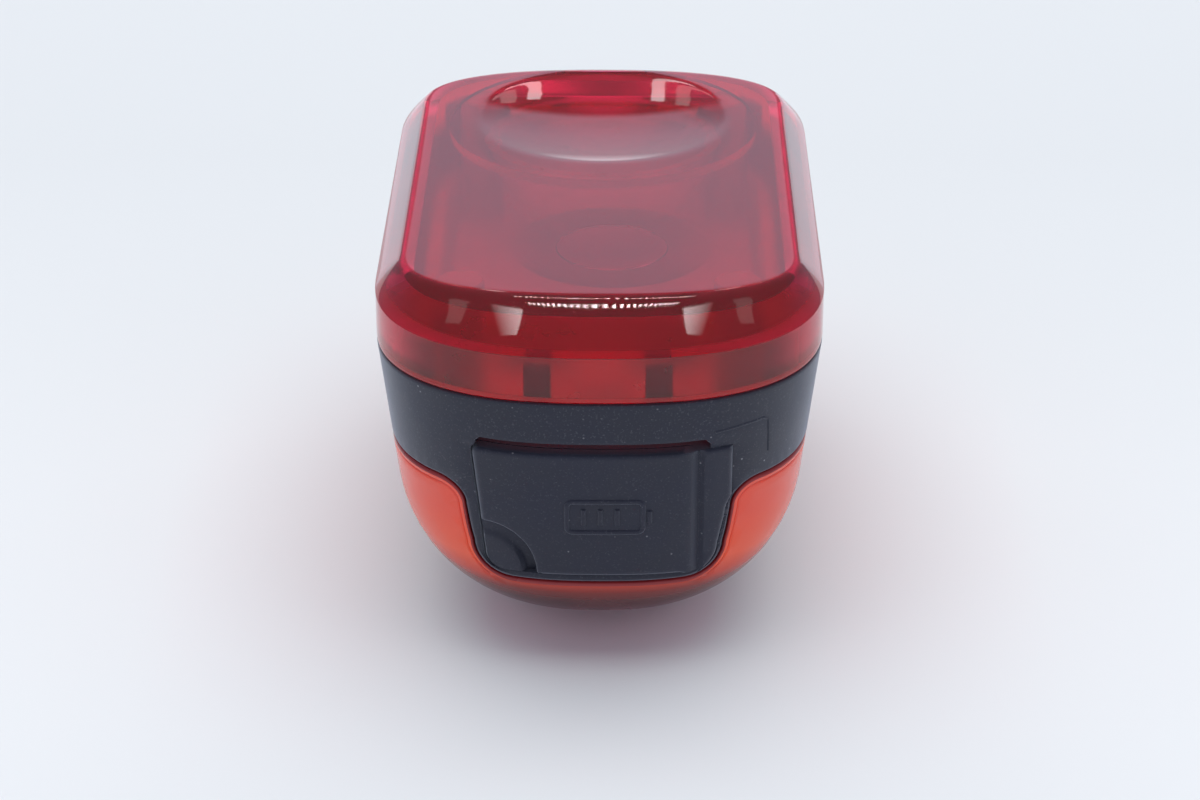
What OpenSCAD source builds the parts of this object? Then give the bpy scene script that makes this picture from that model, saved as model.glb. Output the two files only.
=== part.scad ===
// Rechargeable bicycle rear light, lying on its back with the lens up.
// X runs across the light, Y from the charging port to the button, Z up out of the lens.
// The origin lies on the rear face of the mounting rail, below the middle of the body.

/* [Body] */
// Width across the lens skirt
body_w = 30; // [28:0.5:34]
// Length over the rounded ends at the lens skirt
body_l = 52; // [50:0.5:60]
// Depth from the belly to the seat of the lens
body_d = 18.3; // [18:0.1:21]
// Length over which each end rounds off
end_round = 13; // [11:0.5:14]
// Squareness of the ends, where 2 is an ellipse
end_power = 2.5; // [2.2:0.1:3]
// Slope of the walls towards the belly, in degrees
wall_draft = 7; // [5:0.5:8]
// Radius between the end walls and the belly
belly_r = 5.5; // [4:0.5:6]
// Radius between the side walls and the belly
belly_side_r = 9.5; // [7:0.5:10]
// Wall of the rear shell
shell_wall = 1.5; // [1.2:0.1:1.7]

/* [Lens] */
// Height of the upright skirt
skirt_h = 3.3; // [2.5:0.1:4]
// Height of the bevel above the skirt
bevel_h = 2.1; // [1.8:0.1:2.6]
// Run of the bevel at the sides
bevel_side = 1.8; // [1:0.1:3]
// Run of the bevel at the ends
bevel_end = 5; // [4:0.1:6]
// Length over which each end of the top face rounds off
top_round = 6.8; // [5:0.2:9]
// Wall of the skirt
lens_wall = 1.5; // [1.2:0.1:1.6]
// Thickness of the top
lens_top = 1.8; // [1.5:0.1:2]
// Diameter of the dish over the main diode
dish_d = 18.7; // [16:0.1:19]
// Depth of the dish
dish_depth = 1; // [0.8:0.1:2.2]
// Thickness of the lens under the dish
dish_floor = 1.5; // [1.2:0.1:1.8]
// Diameter of the round pad that backs the dish
dish_pad_d = 22.7; // [20:0.1:23]
// Diameter of the ring optic over the second diode
optic_d = 13; // [9:0.5:14]
// Distance from the ring optic to the near end of the top face
optic_margin = 4; // [3:0.1:5]
// Pitch of the ring optic
optic_pitch = 1.2; // [1:0.1:2]

/* [Collar] */
// Height of the rubber collar along its plain stretches
collar_h = 6.85; // [6.6:0.05:7.2]
// Wall of the collar
collar_wall = 1.6; // [1.4:0.1:1.8]
// Margin of the tongue beside the free edge of the flap
tongue_margin = 0.45; // [0.4:0.05:0.9]
// Narrowing of the tongue towards its lower edge
tongue_taper = 0.9; // [0:0.1:1.2]
// Distance from the lens seat to the lower edge of the tongue
tongue_drop = 13.95; // [13.9:0.05:14.1]
// Radius of the lower corners of the tongue
tongue_corner = 2.5; // [1.5:0.1:3]
// Radius where the tongue runs into the collar
tongue_fillet = 2; // [1:0.1:2.4]
// Height of the shell's inner rim above the seam
rim_h = 3.4; // [2.8:0.1:3.6]
// Wall of the inner rim
rim_wall = 1.1; // [0.9:0.1:1.2]
// Width of the locating tabs that stand inside the lens
tab_w = 1.7; // [1:0.1:2.5]
// Distance of the inner tabs from the middle
tab_x = 3.85; // [3:0.05:5]
// Distance of the outer tabs from the side of the lens
tab_side = 3.8; // [3.4:0.1:5]
// Height of the locating tabs
tab_h = 2; // [1:0.1:2.5]

/* [Charging port] */
// Distance from the lens seat to the centre of the port
port_drop = 8.6; // [8.5:0.05:8.7]
// Width of the window for the plug of the cable
port_w = 10.8; // [10:0.1:11]
// Height of the window
port_h = 6.4; // [6:0.1:6.6]
// Radius of the window's corners
port_corner = 2.4; // [2:0.1:2.8]
// Width of the flap at its upper edge, up to the hinge
flap_w = 14.7; // [14.3:0.1:14.8]
// Slant of the free edge of the flap
flap_slant = 0.75; // [0:0.05:1]
// Height of the flap
flap_h = 9.5; // [9.2:0.1:9.6]
// Thickness of the flap
flap_t = 1.05; // [0.8:0.05:1.1]
// How far the flap stands proud of the collar
flap_proud = 0.15; // [0:0.05:0.4]
// Distance from the middle of the light to the hinge
hinge_x = 6.5; // [6.2:0.1:6.6]
// Width of the strip that anchors the hinge, where it is widest
anchor_w = 2.2; // [1.8:0.1:2.4]
// Margin between that strip and the edge of the tongue
anchor_edge = 0.35; // [0.3:0.05:0.6]
// Radius of the fingernail notch in the flap's free corner
nail_r = 3.3; // [2:0.1:4]
// Depth of that notch
nail_depth = 0.55; // [0.3:0.05:0.7]
// Open slot above the flap
flap_slot = 1; // [0.6:0.1:1.1]
// Depth of the sealing plug behind the flap
plug_depth = 0.7; // [0.4:0.1:0.7]

/* [Button] */
// Width of the rubber button
button_w = 10.6; // [8:0.2:11]
// Height of the rubber button
button_h = 4.4; // [3.4:0.1:4.4]
// How far the button stands proud of the collar
button_proud = 0.55; // [0.3:0.05:0.8]
// Travel of the button
button_travel = 0.5; // [0.3:0.05:0.5]
// Thickness of the flange behind the collar
flange_t = 0.6; // [0.4:0.05:0.6]

/* [Mounting rail] */
// Height of the rail below the belly
rail_h = 3; // [2.6:0.1:4]
// Width of the rail's flange
rail_w = 14; // [12:0.5:15]
// Thickness of the rail's flange
rail_flange = 1.5; // [1.2:0.1:1.6]
// Width of the stem between flange and belly
rail_stem = 9; // [8:0.5:10]
// Length of the rail
rail_l = 26; // [22:0.5:30]
// Width of the catch pocket in the rail
catch_w = 4; // [3:0.5:5]

/* [Inside] */
// Thickness of the circuit board
board_t = 1.2; // [1:0.1:1.6]
// Radius of the lens posts
post_r = 1.6; // [1.5:0.05:1.7]
// Radius of the screw wells in the shell
well_r = 2.2; // [2.1:0.05:2.3]
// Radius of a case screw's shank
screw_r = 0.8; // [0.7:0.05:0.85]
// Distance from the posts to the ends of the body
post_end = 9; // [8.5:0.1:9.5]
// Distance from the battery cell to the side of the body
battery_side = 5.2; // [5.2:0.1:6]
// Thickness of the battery cell
battery_t = 6; // [4.5:0.1:6]
// Diameter of the battery leads
lead_d = 1; // [0.8:0.1:1.2]

/* [Hidden] */
$fn = 48;

// Running and seating clearances
fit = 0.05;
gap = 0.2;
hinge_gap = 0.1;
// Length by which cutting shapes run past the material
over = 1;
// Facets along each rounded end, and along the belly radius
end_steps = 24;
belly_steps = 6;
corner_steps = 6;

// Heights
belly_z = rail_h;
seat_z = belly_z + body_d;
skirt_z = seat_z + skirt_h;
top_z = skirt_z + bevel_h;
seam_z = seat_z - collar_h;
rim_z = seam_z + rim_h;
ledge_t = 1.4;
port_z = seat_z - port_drop;
tongue_z = seat_z - tongue_drop;
// Width of the tongue at its top, round the flap on one side and the hinge strip on the other
anchor_trim = 0.6;
tongue_w = 2 * (max(flap_w - hinge_x, hinge_x + hinge_gap + anchor_w - anchor_trim) + tongue_margin);

// Plan of the body, whose straight sides keep one length at every height
half_w = body_w / 2;
straight = body_l / 2 - end_round;
top_w = body_w - 2 * bevel_side;
top_l = body_l - 2 * bevel_end;
// Height of the centre of the belly radius at the ends
belly_mid_z = belly_z + belly_r;
// Depths below the outer surface
rim_out = collar_wall + fit;
rim_in = rim_out + rim_wall;

// Circuit board between the shell's wells and the posts of the lens
usb_h = 2.6;
usb_w = 7.5;
usb_l = 5.6;
usb_sheet = 0.3;
board_z = port_z + usb_h / 2;
board_top = board_z + board_t;
board_in = rim_in + wall_in(board_z) + 0.25;

// Dish and reflector
dish_margin = 0.15;
dish_y = top_l / 2 - dish_margin - dish_d / 2;
dish_r = (pow(dish_d / 2, 2) + pow(dish_depth, 2)) / (2 * dish_depth);
dish_back_z = top_z - dish_depth - dish_floor;
cup_wall = 0.7;
cup_neck_r = 2.7;
cup_foot = 0.5;
cup_gap = 0.6;
cup_top_z = dish_back_z - cup_gap;
optic_y = -(top_l / 2 - optic_margin - optic_d / 2);

// Posts follow the shell's inner rim, and the reflector and the battery fill the room that they leave
post_y = body_l / 2 - post_end;
posts = [for (side = [-1, 1], end = [-1, 1]) [side * post_x(post_y), end * post_y]];
reflector_r = norm([post_x(post_y), post_y - dish_y]) - post_r - gap;
battery_gap = 0.5;
battery_w = body_w - 2 * battery_side;
battery_board_l = 3;
battery_y1 = post_y - well_r - battery_gap;
battery_y0 = -battery_y1;
battery_l = battery_y1 - battery_y0 - battery_board_l;
screw_head_z = belly_mid_z + 0.5;
screw_head_r = 1.5;
screw_head_h = 1.1;
screw_tip_z = board_top + 6;
well_bore = screw_r + 0.15;
well_sink = screw_head_r + 0.25;

// Battery on its foam pad
floor_z = belly_z + shell_wall;
rail_boss_r = 2.1;
pad_z = floor_z + 1.9;
pad_t = 0.8;
pad_in = 2;
rib_in = 5;
rib_w = 1.2;
battery_z = pad_z + pad_t;

// Rail screws
rail_screw_r = 0.9;
rail_screw_head_r = 1.75;
rail_screw_head_h = 1;
rail_sink = 1.2;
rail_screw_l = pad_z - rail_sink - 0.6;
rail_screw_end = 5;
rail_screw_y = rail_l / 2 - rail_screw_end;

// Flap outline, upright in the end of the light
flap_z0 = port_z - flap_h / 2;
flap_z1 = port_z + flap_h / 2;
flap_corner = 1.3;
flap_gap = 0.15;
plug_gap = 0.5;

// Button and switch
button_z = seat_z - collar_h / 2;
flange_over = 0.7;
switch_w = 4.6;
switch_l = 3;
switch_h = 2.1;
plunger_r = 0.7;
plunger_gap = 0.06;
plunger_bore = 1.4;
plunger_root = 0.8;
plunger_z = board_top + switch_h / 2;
flange_back_y = end_y(rim_out + flange_t, button_z);
plunger_tip_y = flange_back_y - 0.7;
switch_y = plunger_tip_y - 1.4;
stem_w = 2.6;
stem_h = 1.6;

// Diodes, chips and the parts of the receptacle
led_w = 3.5;
led_t = 0.9;
dome_r = 1.35;
second_w = 3.2;
second_l = 2.8;
second_t = 1.3;
usb_mouth_in = 0.4;
usb_mouth_y = -end_y(rim_out + usb_mouth_in, port_z);
usb_tongue_w = 4.3;
usb_tongue_t = 0.6;
usb_tongue_in = 0.8;
usb_tongue_up = 0.5;
chip_side = 5.2;
chip_far = 5.5;
chip_near = 4.5;
driver_w = 4;
driver_t = 0.9;
charge_w = 3;
charge_t = 0.8;
coil_w = 4;
coil_t = 2.3;
coil_foot = 0.6;
coil_cap = 0.6;
coil_core_r = 1.5;
bit_rows = 3;
bit_l = 1;
bit_w = 0.5;
bit_pitch = 1.1;
bit_side = 2.4;
bit_start = 3;
mark_l = 1.6;
mark_w = 0.8;
mark_t = 0.7;

// Inset of the drafted wall at a height
function wall_in(z) = (seat_z - z) * tan(wall_draft);
// Inset of the body's form at a height and at a depth below its surface, with a belly radius
function form_in(belly, depth, z) =
  let (r = belly - depth, drop = belly_z + belly - z)
    drop > r * sin(wall_draft)
      ? belly / cos(wall_draft) + (body_d - belly) * tan(wall_draft) - sqrt(max(r * r - drop * drop, 0))
      : wall_in(z) + depth / cos(wall_draft);
// Distance from the middle to the end of the body, below its surface by a depth
function end_y(depth, z) = body_l / 2 - wall_in(z) - depth;
// Signed power, for the superelliptic ends
function signed_pow(v, p) = sign(v) * pow(abs(v), p);
// Half width of the plan at a distance from the middle, inset from the skirt
function half_width(inset, y) =
  (half_w - inset) * pow(1 - pow(max(abs(y) - straight, 0) / (end_round - inset), end_power), 1 / end_power);
// Distance from the middle to the end at a place across the width, inset from the skirt
function end_at(inset, x) =
  straight + (end_round - inset) * pow(1 - pow(abs(x) / (half_w - inset), end_power), 1 / end_power);
// Place of a post across the width, clear of the rim
function post_x(y) = half_width(rim_in + wall_in(board_top), y) - post_r - gap;

// One ring of points: straight sides between two superelliptic ends
function outline(half, mid, round_l, z) = [
  for (end = [1, -1], k = [0 : end_steps])
    let (t = 180 * k / end_steps + (end > 0 ? 0 : 180))
      [
        half * signed_pow(cos(t), 2 / end_power),
        end * mid + round_l * signed_pow(sin(t), 2 / end_power),
        z
      ]
];
function body_ring(inset, z) = outline(half_w - inset, straight, end_round - inset, z);
function form_ring(depth, z) =
  outline(half_w - form_in(belly_side_r, depth, z), straight, end_round - form_in(belly_r, depth, z), z);
// Points of an arc in a plane
function arc(c, r, a0, a1, steps = corner_steps) = [
  for (k = [0 : steps]) let (a = a0 + (a1 - a0) * k / steps) c + r * [cos(a), sin(a)]
];

// Closed solid through rings of equal count, from the lowest to the highest
module loft(rings) {
  n = len(rings[0]);
  last = len(rings) - 1;
  sides = [
    for (r = [0 : last - 1], k = [0 : n - 1])
      let (a = r * n + k, b = r * n + (k + 1) % n)
        each [[a, a + n, b + n], [a, b + n, b]]
  ];
  caps = [[for (k = [0 : n - 1]) k], [for (k = [n - 1 : -1 : 0]) last * n + k]];
  polyhedron(points = [for (ring = rings) each ring], faces = concat(sides, caps));
}

// The body's form at a depth below its surface, from the belly up to a height
module body_form(depth, z1) {
  r = belly_side_r - depth;
  loft(concat(
    [
      for (k = [belly_steps : -1 : 0])
        let (a = wall_draft + (90 - wall_draft) * k / belly_steps)
          form_ring(depth, belly_z + belly_side_r - r * sin(a))
    ],
    [form_ring(depth, z1)]
  ));
}

// A layer of the whole body between two depths, up to a height
module layer(outer, inner, z1) {
  difference() {
    body_form(outer, z1);
    body_form(inner, z1 + over);
  }
}

// Everything between two heights
module band(z0, z1) {
  translate([-body_w, -body_l, z0]) cube([2 * body_w, 2 * body_l, z1 - z0]);
}

// The drafted wall alone at a depth below its surface, between two heights
module wall_form(depth, z0, z1) {
  loft([for (z = [z0, z1]) body_ring(wall_in(z) + depth / cos(wall_draft), z)]);
}

// A layer of the drafted wall between two depths
module wall_layer(outer, inner, z0, z1) {
  difference() {
    wall_form(outer, z0, z1);
    wall_form(inner, z0 - over, z1 + over);
  }
}

// An outline in X and Z, drawn out along Y
module end_prism(y0, y1) {
  translate([0, y1, 0]) rotate([90, 0, 0]) linear_extrude(y1 - y0) children();
}
near_reach = [-body_l, -straight];
far_reach = [straight, body_l];

// Outline of the tongue around the port, grown by a margin, running up into the collar
module tongue_shape(grow = 0) {
  half_top = tongue_w / 2 + grow;
  half_low = half_top - tongue_taper / 2;
  z0 = tongue_z - grow;
  corner = tongue_corner + grow;
  fillet = tongue_fillet - grow;
  right = concat(
    arc([half_low - corner, z0 + corner], corner, -90, 0),
    arc([half_top + fillet, seam_z - fillet], fillet, 180, 90),
    [[half_top + fillet, seam_z + over]]
  );
  polygon(concat(right, [for (k = [len(right) - 1 : -1 : 0]) [-right[k].x, right[k].y]]));
}

// Outline of the flap with its slanted free edge, grown by a margin
module flap_shape(grow = 0) {
  x0 = hinge_x - flap_w - grow;
  x1 = hinge_x;
  low = x0 + flap_slant;
  z0 = flap_z0 - grow;
  polygon(concat(
    arc([low + flap_corner, z0 + flap_corner], flap_corner, 270, 180),
    [[x0, flap_z1 + grow], [x1, flap_z1 + grow], [x1, z0]]
  ));
}

// Outline of the strip that anchors the hinge, whose outer edge follows the tongue
module anchor_shape(grow = 0, x0 = hinge_x + hinge_gap) {
  x1 = hinge_x + hinge_gap + anchor_w - fit + grow;
  intersection() {
    translate([x0, flap_z0 - grow]) square([x1 - x0, flap_h + 2 * grow]);
    union() {
      tongue_shape(grow = grow - anchor_edge);
      translate([0, seam_z]) square([body_w, collar_h]);
    }
  }
}

// Outline with round ends, centred at a height
module slot_shape(w, h, z) {
  translate([-(w - h) / 2, z - h / 2]) square([w - h, h]);
  for (side = [-1, 1]) translate([side * (w - h) / 2, z]) circle(d = h);
}

// Window of the charging port, shrunk by a margin
module port_shape(shrink = 0) {
  x = port_w / 2 - port_corner;
  z = port_h / 2 - port_corner;
  r = port_corner - shrink;
  translate([0, port_z])
    polygon(concat(
      arc([x, z], r, 0, 90),
      arc([-x, z], r, 90, 180),
      arc([-x, -z], r, 180, 270),
      arc([x, -z], r, 270, 360)
    ));
}

// Lens

module lens_block() {
  loft([
    body_ring(0, seat_z),
    body_ring(0, skirt_z),
    outline(top_w / 2, top_l / 2 - top_round, top_round, top_z)
  ]);
}

module lens_hollow() {
  inner_z = top_z - lens_top;
  step = 0.6 * lens_wall;
  loft([
    body_ring(lens_wall, seat_z - over),
    body_ring(lens_wall, skirt_z - 0.5),
    outline(top_w / 2 - step, top_l / 2 - top_round, top_round - step, inner_z)
  ]);
}

// Ridges of the ring optic, hanging from the inner face of the top
module ring_optic() {
  ridge = 0.4;
  translate([0, optic_y, top_z - lens_top + fit]) {
    for (r = [optic_pitch : optic_pitch : optic_d / 2 - optic_pitch])
      rotate_extrude() polygon([[r, 0], [r + 0.8 * optic_pitch, 0], [r, -ridge]]);
  }
}

module lens_cover() {
  color([0.75, 0.02, 0.05, 0.6])
    difference() {
      union() {
        difference() {
          lens_block();
          lens_hollow();
        }
        intersection() {
          lens_block();
          translate([0, dish_y, dish_back_z]) cylinder(d = dish_pad_d, h = top_z - dish_back_z);
        }
        for (p = posts)
          translate([p.x, p.y, board_top]) cylinder(r = post_r, h = top_z - lens_top + fit - board_top);
        ring_optic();
      }
      translate([0, dish_y, top_z - dish_depth + dish_r]) sphere(r = dish_r);
      for (p = posts)
        translate([p.x, p.y, board_top - over])
          cylinder(r = screw_r + fit, h = screw_tip_z - board_top + 2 * over);
    }
}

// Rubber collar

// Tabs across both ends, rooted in the collar's inner face
tab_t = 0.9;
tab_root = (collar_h - button_h) / 2 - flange_over - gap / 2;
tab_places = [tab_x, half_w - tab_side];

// An upright ring between two insets from the skirt
module upright_ring(outer, inner, z0, z1) {
  difference() {
    loft([body_ring(outer, z0), body_ring(outer, z1)]);
    loft([body_ring(inner, z0 - over), body_ring(inner, z1 + over)]);
  }
}

module locating_tabs() {
  intersection() {
    union() {
      upright_ring(collar_wall, collar_wall + tab_t, seat_z - fit, seat_z + tab_h);
      upright_ring(collar_wall - 0.3, collar_wall + tab_t, seat_z - tab_root, seat_z);
    }
    union() {
      for (side = [-1, 1], x = tab_places)
        translate([side * x - tab_w / 2, -body_l, seat_z - tab_root - over])
          cube([tab_w, 2 * body_l, tab_root + tab_h + 2 * over]);
    }
  }
}

module collar_layer() {
  intersection() {
    layer(0, collar_wall, seat_z);
    union() {
      band(seam_z, seat_z + over);
      end_prism(near_reach.x, near_reach.y) tongue_shape();
    }
  }
}

// Seat of the flap and its anchor, sunk into the collar's outer face
module flap_pocket() {
  difference() {
    end_prism(near_reach.x, near_reach.y) {
      flap_shape(grow = flap_gap);
      anchor_shape(grow = fit, x0 = hinge_x - over);
    }
    wall_form(flap_t - flap_proud + fit, tongue_z - over, seat_z + over);
  }
}

module seal_collar() {
  color([0.08, 0.085, 0.1])
    difference() {
      union() {
        collar_layer();
        locating_tabs();
      }
      flap_pocket();
      end_prism(near_reach.x, near_reach.y) {
        port_shape();
        translate([hinge_x - flap_w + gap, flap_z1]) square([flap_w - 2 * gap, flap_slot + flap_gap]);
      }
      end_prism(far_reach.x, far_reach.y) slot_shape(button_w + 0.3, button_h + 0.3, button_z);
    }
}

// Rear shell

// Rim that stands up inside the collar and goes down around the port behind the tongue
module shell_rim() {
  intersection() {
    layer(rim_out, rim_in, rim_z);
    union() {
      band(seam_z - ledge_t, rim_z + over);
      end_prism(near_reach.x, near_reach.y)
        translate([-tongue_w / 2 - ledge_t, tongue_z - ledge_t])
          square([tongue_w + 2 * ledge_t, seam_z - tongue_z]);
    }
  }
}

// Outer wall with the ledge that carries the rim, cut away for the collar's tongue
module shell_wall_part() {
  bite = 0.3;
  difference() {
    union() {
      layer(0, shell_wall, seam_z);
      intersection() {
        layer(shell_wall - bite, rim_out + bite, seam_z);
        union() {
          band(seam_z - ledge_t, seam_z + over);
          end_prism(near_reach.x, near_reach.y)
            translate([-tongue_w / 2 - ledge_t, tongue_z - ledge_t])
              square([tongue_w + 2 * ledge_t, seam_z - tongue_z]);
        }
      }
    }
    difference() {
      end_prism(near_reach.x, near_reach.y) tongue_shape(grow = fit);
      body_form(rim_out + bite / 2, seam_z + 2 * over);
    }
  }
}

module shell_wells() {
  intersection() {
    body_form(shell_wall / 2, board_z);
    union() {
      for (p = posts)
        translate([p.x, p.y, belly_z]) cylinder(r = well_r, h = board_z - belly_z);
      for (side = [-1, 1])
        translate([0, side * rail_screw_y, belly_z]) cylinder(r = rail_boss_r, h = pad_z - belly_z);
      // Two low ribs that carry the battery's pad
      for (side = [-1, 1])
        translate([side * (battery_w / 2 - rib_in) - rib_w / 2, battery_y0 + pad_in, belly_z])
          cube([rib_w, battery_y1 - battery_y0 - 2 * pad_in, pad_z - belly_z]);
    }
  }
}

module rear_shell() {
  color([0.85, 0.16, 0.06, 0.8])
    difference() {
      union() {
        shell_wall_part();
        shell_rim();
        shell_wells();
      }
      end_prism(near_reach.x, near_reach.y) port_shape();
      end_prism(far_reach.x, far_reach.y)
        translate([-button_w / 2 - 1.6, seam_z + 0.3]) square([button_w + 3.2, collar_h]);
      for (p = posts) translate([p.x, p.y, 0]) {
        cylinder(r = well_bore, h = board_z + over);
        cylinder(r = well_sink, h = screw_head_z + screw_head_h);
      }
      for (side = [-1, 1])
        translate([0, side * rail_screw_y, belly_z - over])
          cylinder(r = rail_screw_r + fit, h = pad_z - belly_z - 0.3 + over);
    }
}

// Mounting rail on the back

module mounting_rail() {
  lead_in = 2;
  color([0.06, 0.06, 0.065])
    difference() {
      union() {
        translate([-rail_stem / 2, -rail_l / 2, rail_flange - fit])
          cube([rail_stem, rail_l, rail_h - rail_flange + fit]);
        linear_extrude(rail_flange)
          polygon([
            [-rail_w / 2 + lead_in / 2, -rail_l / 2], [rail_w / 2 - lead_in / 2, -rail_l / 2],
            [rail_w / 2, -rail_l / 2 + lead_in], [rail_w / 2, rail_l / 2],
            [-rail_w / 2, rail_l / 2], [-rail_w / 2, -rail_l / 2 + lead_in]
          ]);
        // Stop across the upper end of the rail
        translate([-rail_w / 2, rail_l / 2 - lead_in, 0]) cube([rail_w, lead_in, rail_h]);
      }
      // Pocket for the spring catch of a bracket
      translate([-catch_w / 2, -catch_w / 2, -over]) cube([catch_w, catch_w, rail_sink + over]);
      for (side = [-1, 1]) translate([0, side * rail_screw_y, 0]) {
        translate([0, 0, -over]) cylinder(r = rail_screw_r + 0.15, h = rail_h + 2 * over);
        translate([0, 0, -over]) cylinder(r = rail_screw_head_r + 0.15, h = rail_sink + over);
      }
    }
}

// A pan-head screw pointing up, with a cross recess, its head's underside at the height given
module pan_screw(shank_r, head_r, head_h, shank_l) {
  recess = 0.55 * head_h;
  difference() {
    union() {
      translate([0, 0, -head_h]) cylinder(r = head_r, h = head_h);
      cylinder(r = shank_r, h = shank_l);
    }
    for (turn = [0, 90])
      rotate([0, 0, turn]) translate([-0.7 * head_r, -0.14 * head_r, -head_h - over])
        cube([1.4 * head_r, 0.28 * head_r, recess + over]);
  }
}

module rail_screws() {
  color("silver")
    for (side = [-1, 1])
      translate([0, side * rail_screw_y, rail_sink])
        pan_screw(rail_screw_r, rail_screw_head_r, rail_screw_head_h, rail_screw_l);
}

module case_screws() {
  head_under = screw_head_z + screw_head_h;
  color("silver")
    for (p = posts)
      translate([p.x, p.y, head_under])
        pan_screw(screw_r, screw_head_r, screw_head_h, screw_tip_z - head_under);
}

// Charging port cover

module port_flap() {
  color([0.07, 0.075, 0.09])
    union() {
      difference() {
        intersection() {
          wall_layer(-flap_proud, flap_t - flap_proud, tongue_z, seat_z);
          end_prism(near_reach.x, near_reach.y) flap_shape();
        }
        // Fingernail notch, sunk into the free corner
        difference() {
          end_prism(near_reach.x, near_reach.y)
            translate([hinge_x - flap_w + flap_slant, flap_z0]) circle(r = nail_r);
          wall_form(nail_depth - flap_proud, tongue_z - over, seat_z + over);
        }
      }
      intersection() {
        wall_layer(flap_t - flap_proud - fit, flap_t - flap_proud + plug_depth, tongue_z, seat_z);
        end_prism(near_reach.x, near_reach.y) port_shape(shrink = plug_gap);
      }
    }
}

module flap_anchor() {
  color([0.07, 0.075, 0.09])
    intersection() {
      wall_layer(-flap_proud, flap_t - flap_proud, tongue_z, seat_z);
      end_prism(near_reach.x, near_reach.y) anchor_shape();
    }
}

// Button and switch

module power_button() {
  color([0.08, 0.085, 0.1])
    union() {
      intersection() {
        wall_layer(-button_proud, rim_out + fit, seam_z, seat_z);
        end_prism(far_reach.x, far_reach.y) slot_shape(button_w, button_h, button_z);
      }
      intersection() {
        wall_layer(rim_out, rim_out + flange_t, seam_z, seat_z);
        end_prism(far_reach.x, far_reach.y)
          slot_shape(button_w + 2 * flange_over, button_h + 2 * flange_over, button_z);
      }
      translate([-stem_w / 2, plunger_tip_y + fit, plunger_z - stem_h / 2])
        cube([stem_w, flange_back_y + 0.3 - plunger_tip_y, stem_h]);
    }
}

module switch_body() {
  color([0.15, 0.15, 0.16])
    difference() {
      translate([-switch_w / 2, switch_y - switch_l, board_top]) cube([switch_w, switch_l, switch_h]);
      translate([0, switch_y + over, plunger_z]) rotate([90, 0, 0])
        cylinder(r = plunger_r + plunger_gap, h = plunger_bore + over);
    }
}

module switch_plunger() {
  color([0.85, 0.82, 0.7])
    translate([0, plunger_tip_y, plunger_z]) rotate([90, 0, 0])
      cylinder(r = plunger_r, h = plunger_tip_y - switch_y + plunger_root);
}

// Circuit board and what is soldered to it

module circuit_board() {
  color([0.74, 0.74, 0.72])
    difference() {
      translate([0, 0, board_z]) linear_extrude(board_t)
        polygon([for (p = body_ring(board_in, 0)) [p.x, p.y]]);
      for (p = posts)
        translate([p.x, p.y, board_z - over]) cylinder(r = screw_r + 0.25, h = board_t + 2 * over);
    }
}

module main_led() {
  color([0.9, 0.9, 0.85])
    translate([-led_w / 2, dish_y - led_w / 2, board_top]) cube([led_w, led_w, led_t]);
}

module led_dome() {
  color([0.95, 0.75, 0.6, 0.7])
    translate([0, dish_y, board_top + led_t]) intersection() {
      sphere(r = dome_r);
      translate([-led_w, -led_w, 0]) cube(2 * led_w);
    }
}

module second_led() {
  color([0.95, 0.85, 0.75]) on_board(0, 0, [second_w, second_l, second_t]);
}

// Bowl whose wall opens out from the neck as a parabola
module reflector_cup() {
  bowl_r = reflector_r - cup_wall;
  z0 = board_top + cup_foot / 2;
  rise = cup_top_z - z0;
  steps = 8;
  inner = [
    for (k = [0 : steps])
      let (r = cup_neck_r + (bowl_r - cup_neck_r) * k / steps)
        [r, z0 + rise * (pow(r, 2) - pow(cup_neck_r, 2)) / (pow(bowl_r, 2) - pow(cup_neck_r, 2))]
  ];
  outer = [for (k = [steps : -1 : 0]) [inner[k].x + cup_wall, inner[k].y]];
  color([0.9, 0.9, 0.92])
    translate([0, dish_y, 0]) union() {
      rotate_extrude() polygon(concat(inner, outer));
      // Foot that stands on the board
      difference() {
        translate([0, 0, board_top]) cylinder(r = cup_neck_r + cup_wall, h = cup_foot);
        translate([0, 0, board_top - over]) cylinder(r = cup_neck_r, h = cup_foot + 2 * over);
      }
    }
}

module usb_shell() {
  color("silver")
    translate([-usb_w / 2, usb_mouth_y, board_z - usb_h])
      difference() {
        cube([usb_w, usb_l, usb_h]);
        translate([usb_sheet, -over, usb_sheet])
          cube([usb_w - 2 * usb_sheet, usb_l - usb_sheet + over, usb_h - 2 * usb_sheet]);
      }
}

module usb_tongue() {
  color([0.1, 0.1, 0.1])
    translate([-usb_tongue_w / 2, usb_mouth_y + usb_tongue_in, board_z - usb_h + usb_sheet + usb_tongue_up])
      cube([usb_tongue_w, usb_l - usb_sheet - usb_tongue_in, usb_tongue_t]);
}

// Parts on the upper face of the board, at places given from the second diode
module on_board(x, y, size) {
  translate([x - size.x / 2, optic_y + y - size.y / 2, board_top]) cube(size);
}

module driver_chip() {
  color([0.07, 0.07, 0.08]) on_board(-chip_side, chip_far, [driver_w, driver_w, driver_t]);
}

module charge_chip() {
  color([0.07, 0.07, 0.08]) on_board(chip_side, -chip_near, [charge_w, charge_w, charge_t]);
}

module inductor() {
  color([0.2, 0.2, 0.21])
    translate([chip_side, optic_y + chip_far, board_top]) {
      translate([-coil_w / 2, -coil_w / 2, 0]) cube([coil_w, coil_w, coil_foot]);
      cylinder(r = coil_core_r, h = coil_t - coil_cap + fit);
      translate([0, 0, coil_t - coil_cap]) cylinder(r = coil_w / 2 - fit, h = coil_cap);
    }
}

// Small parts in two rows on either side of the second diode
module chip_parts() {
  color([0.55, 0.45, 0.35])
    for (side = [-1, 1], end = [-1, 1], row = [0 : bit_rows - 1])
      on_board(side * bit_side, end * (bit_start + row * bit_pitch), [bit_l, bit_w, bit_w]);
}

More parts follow.
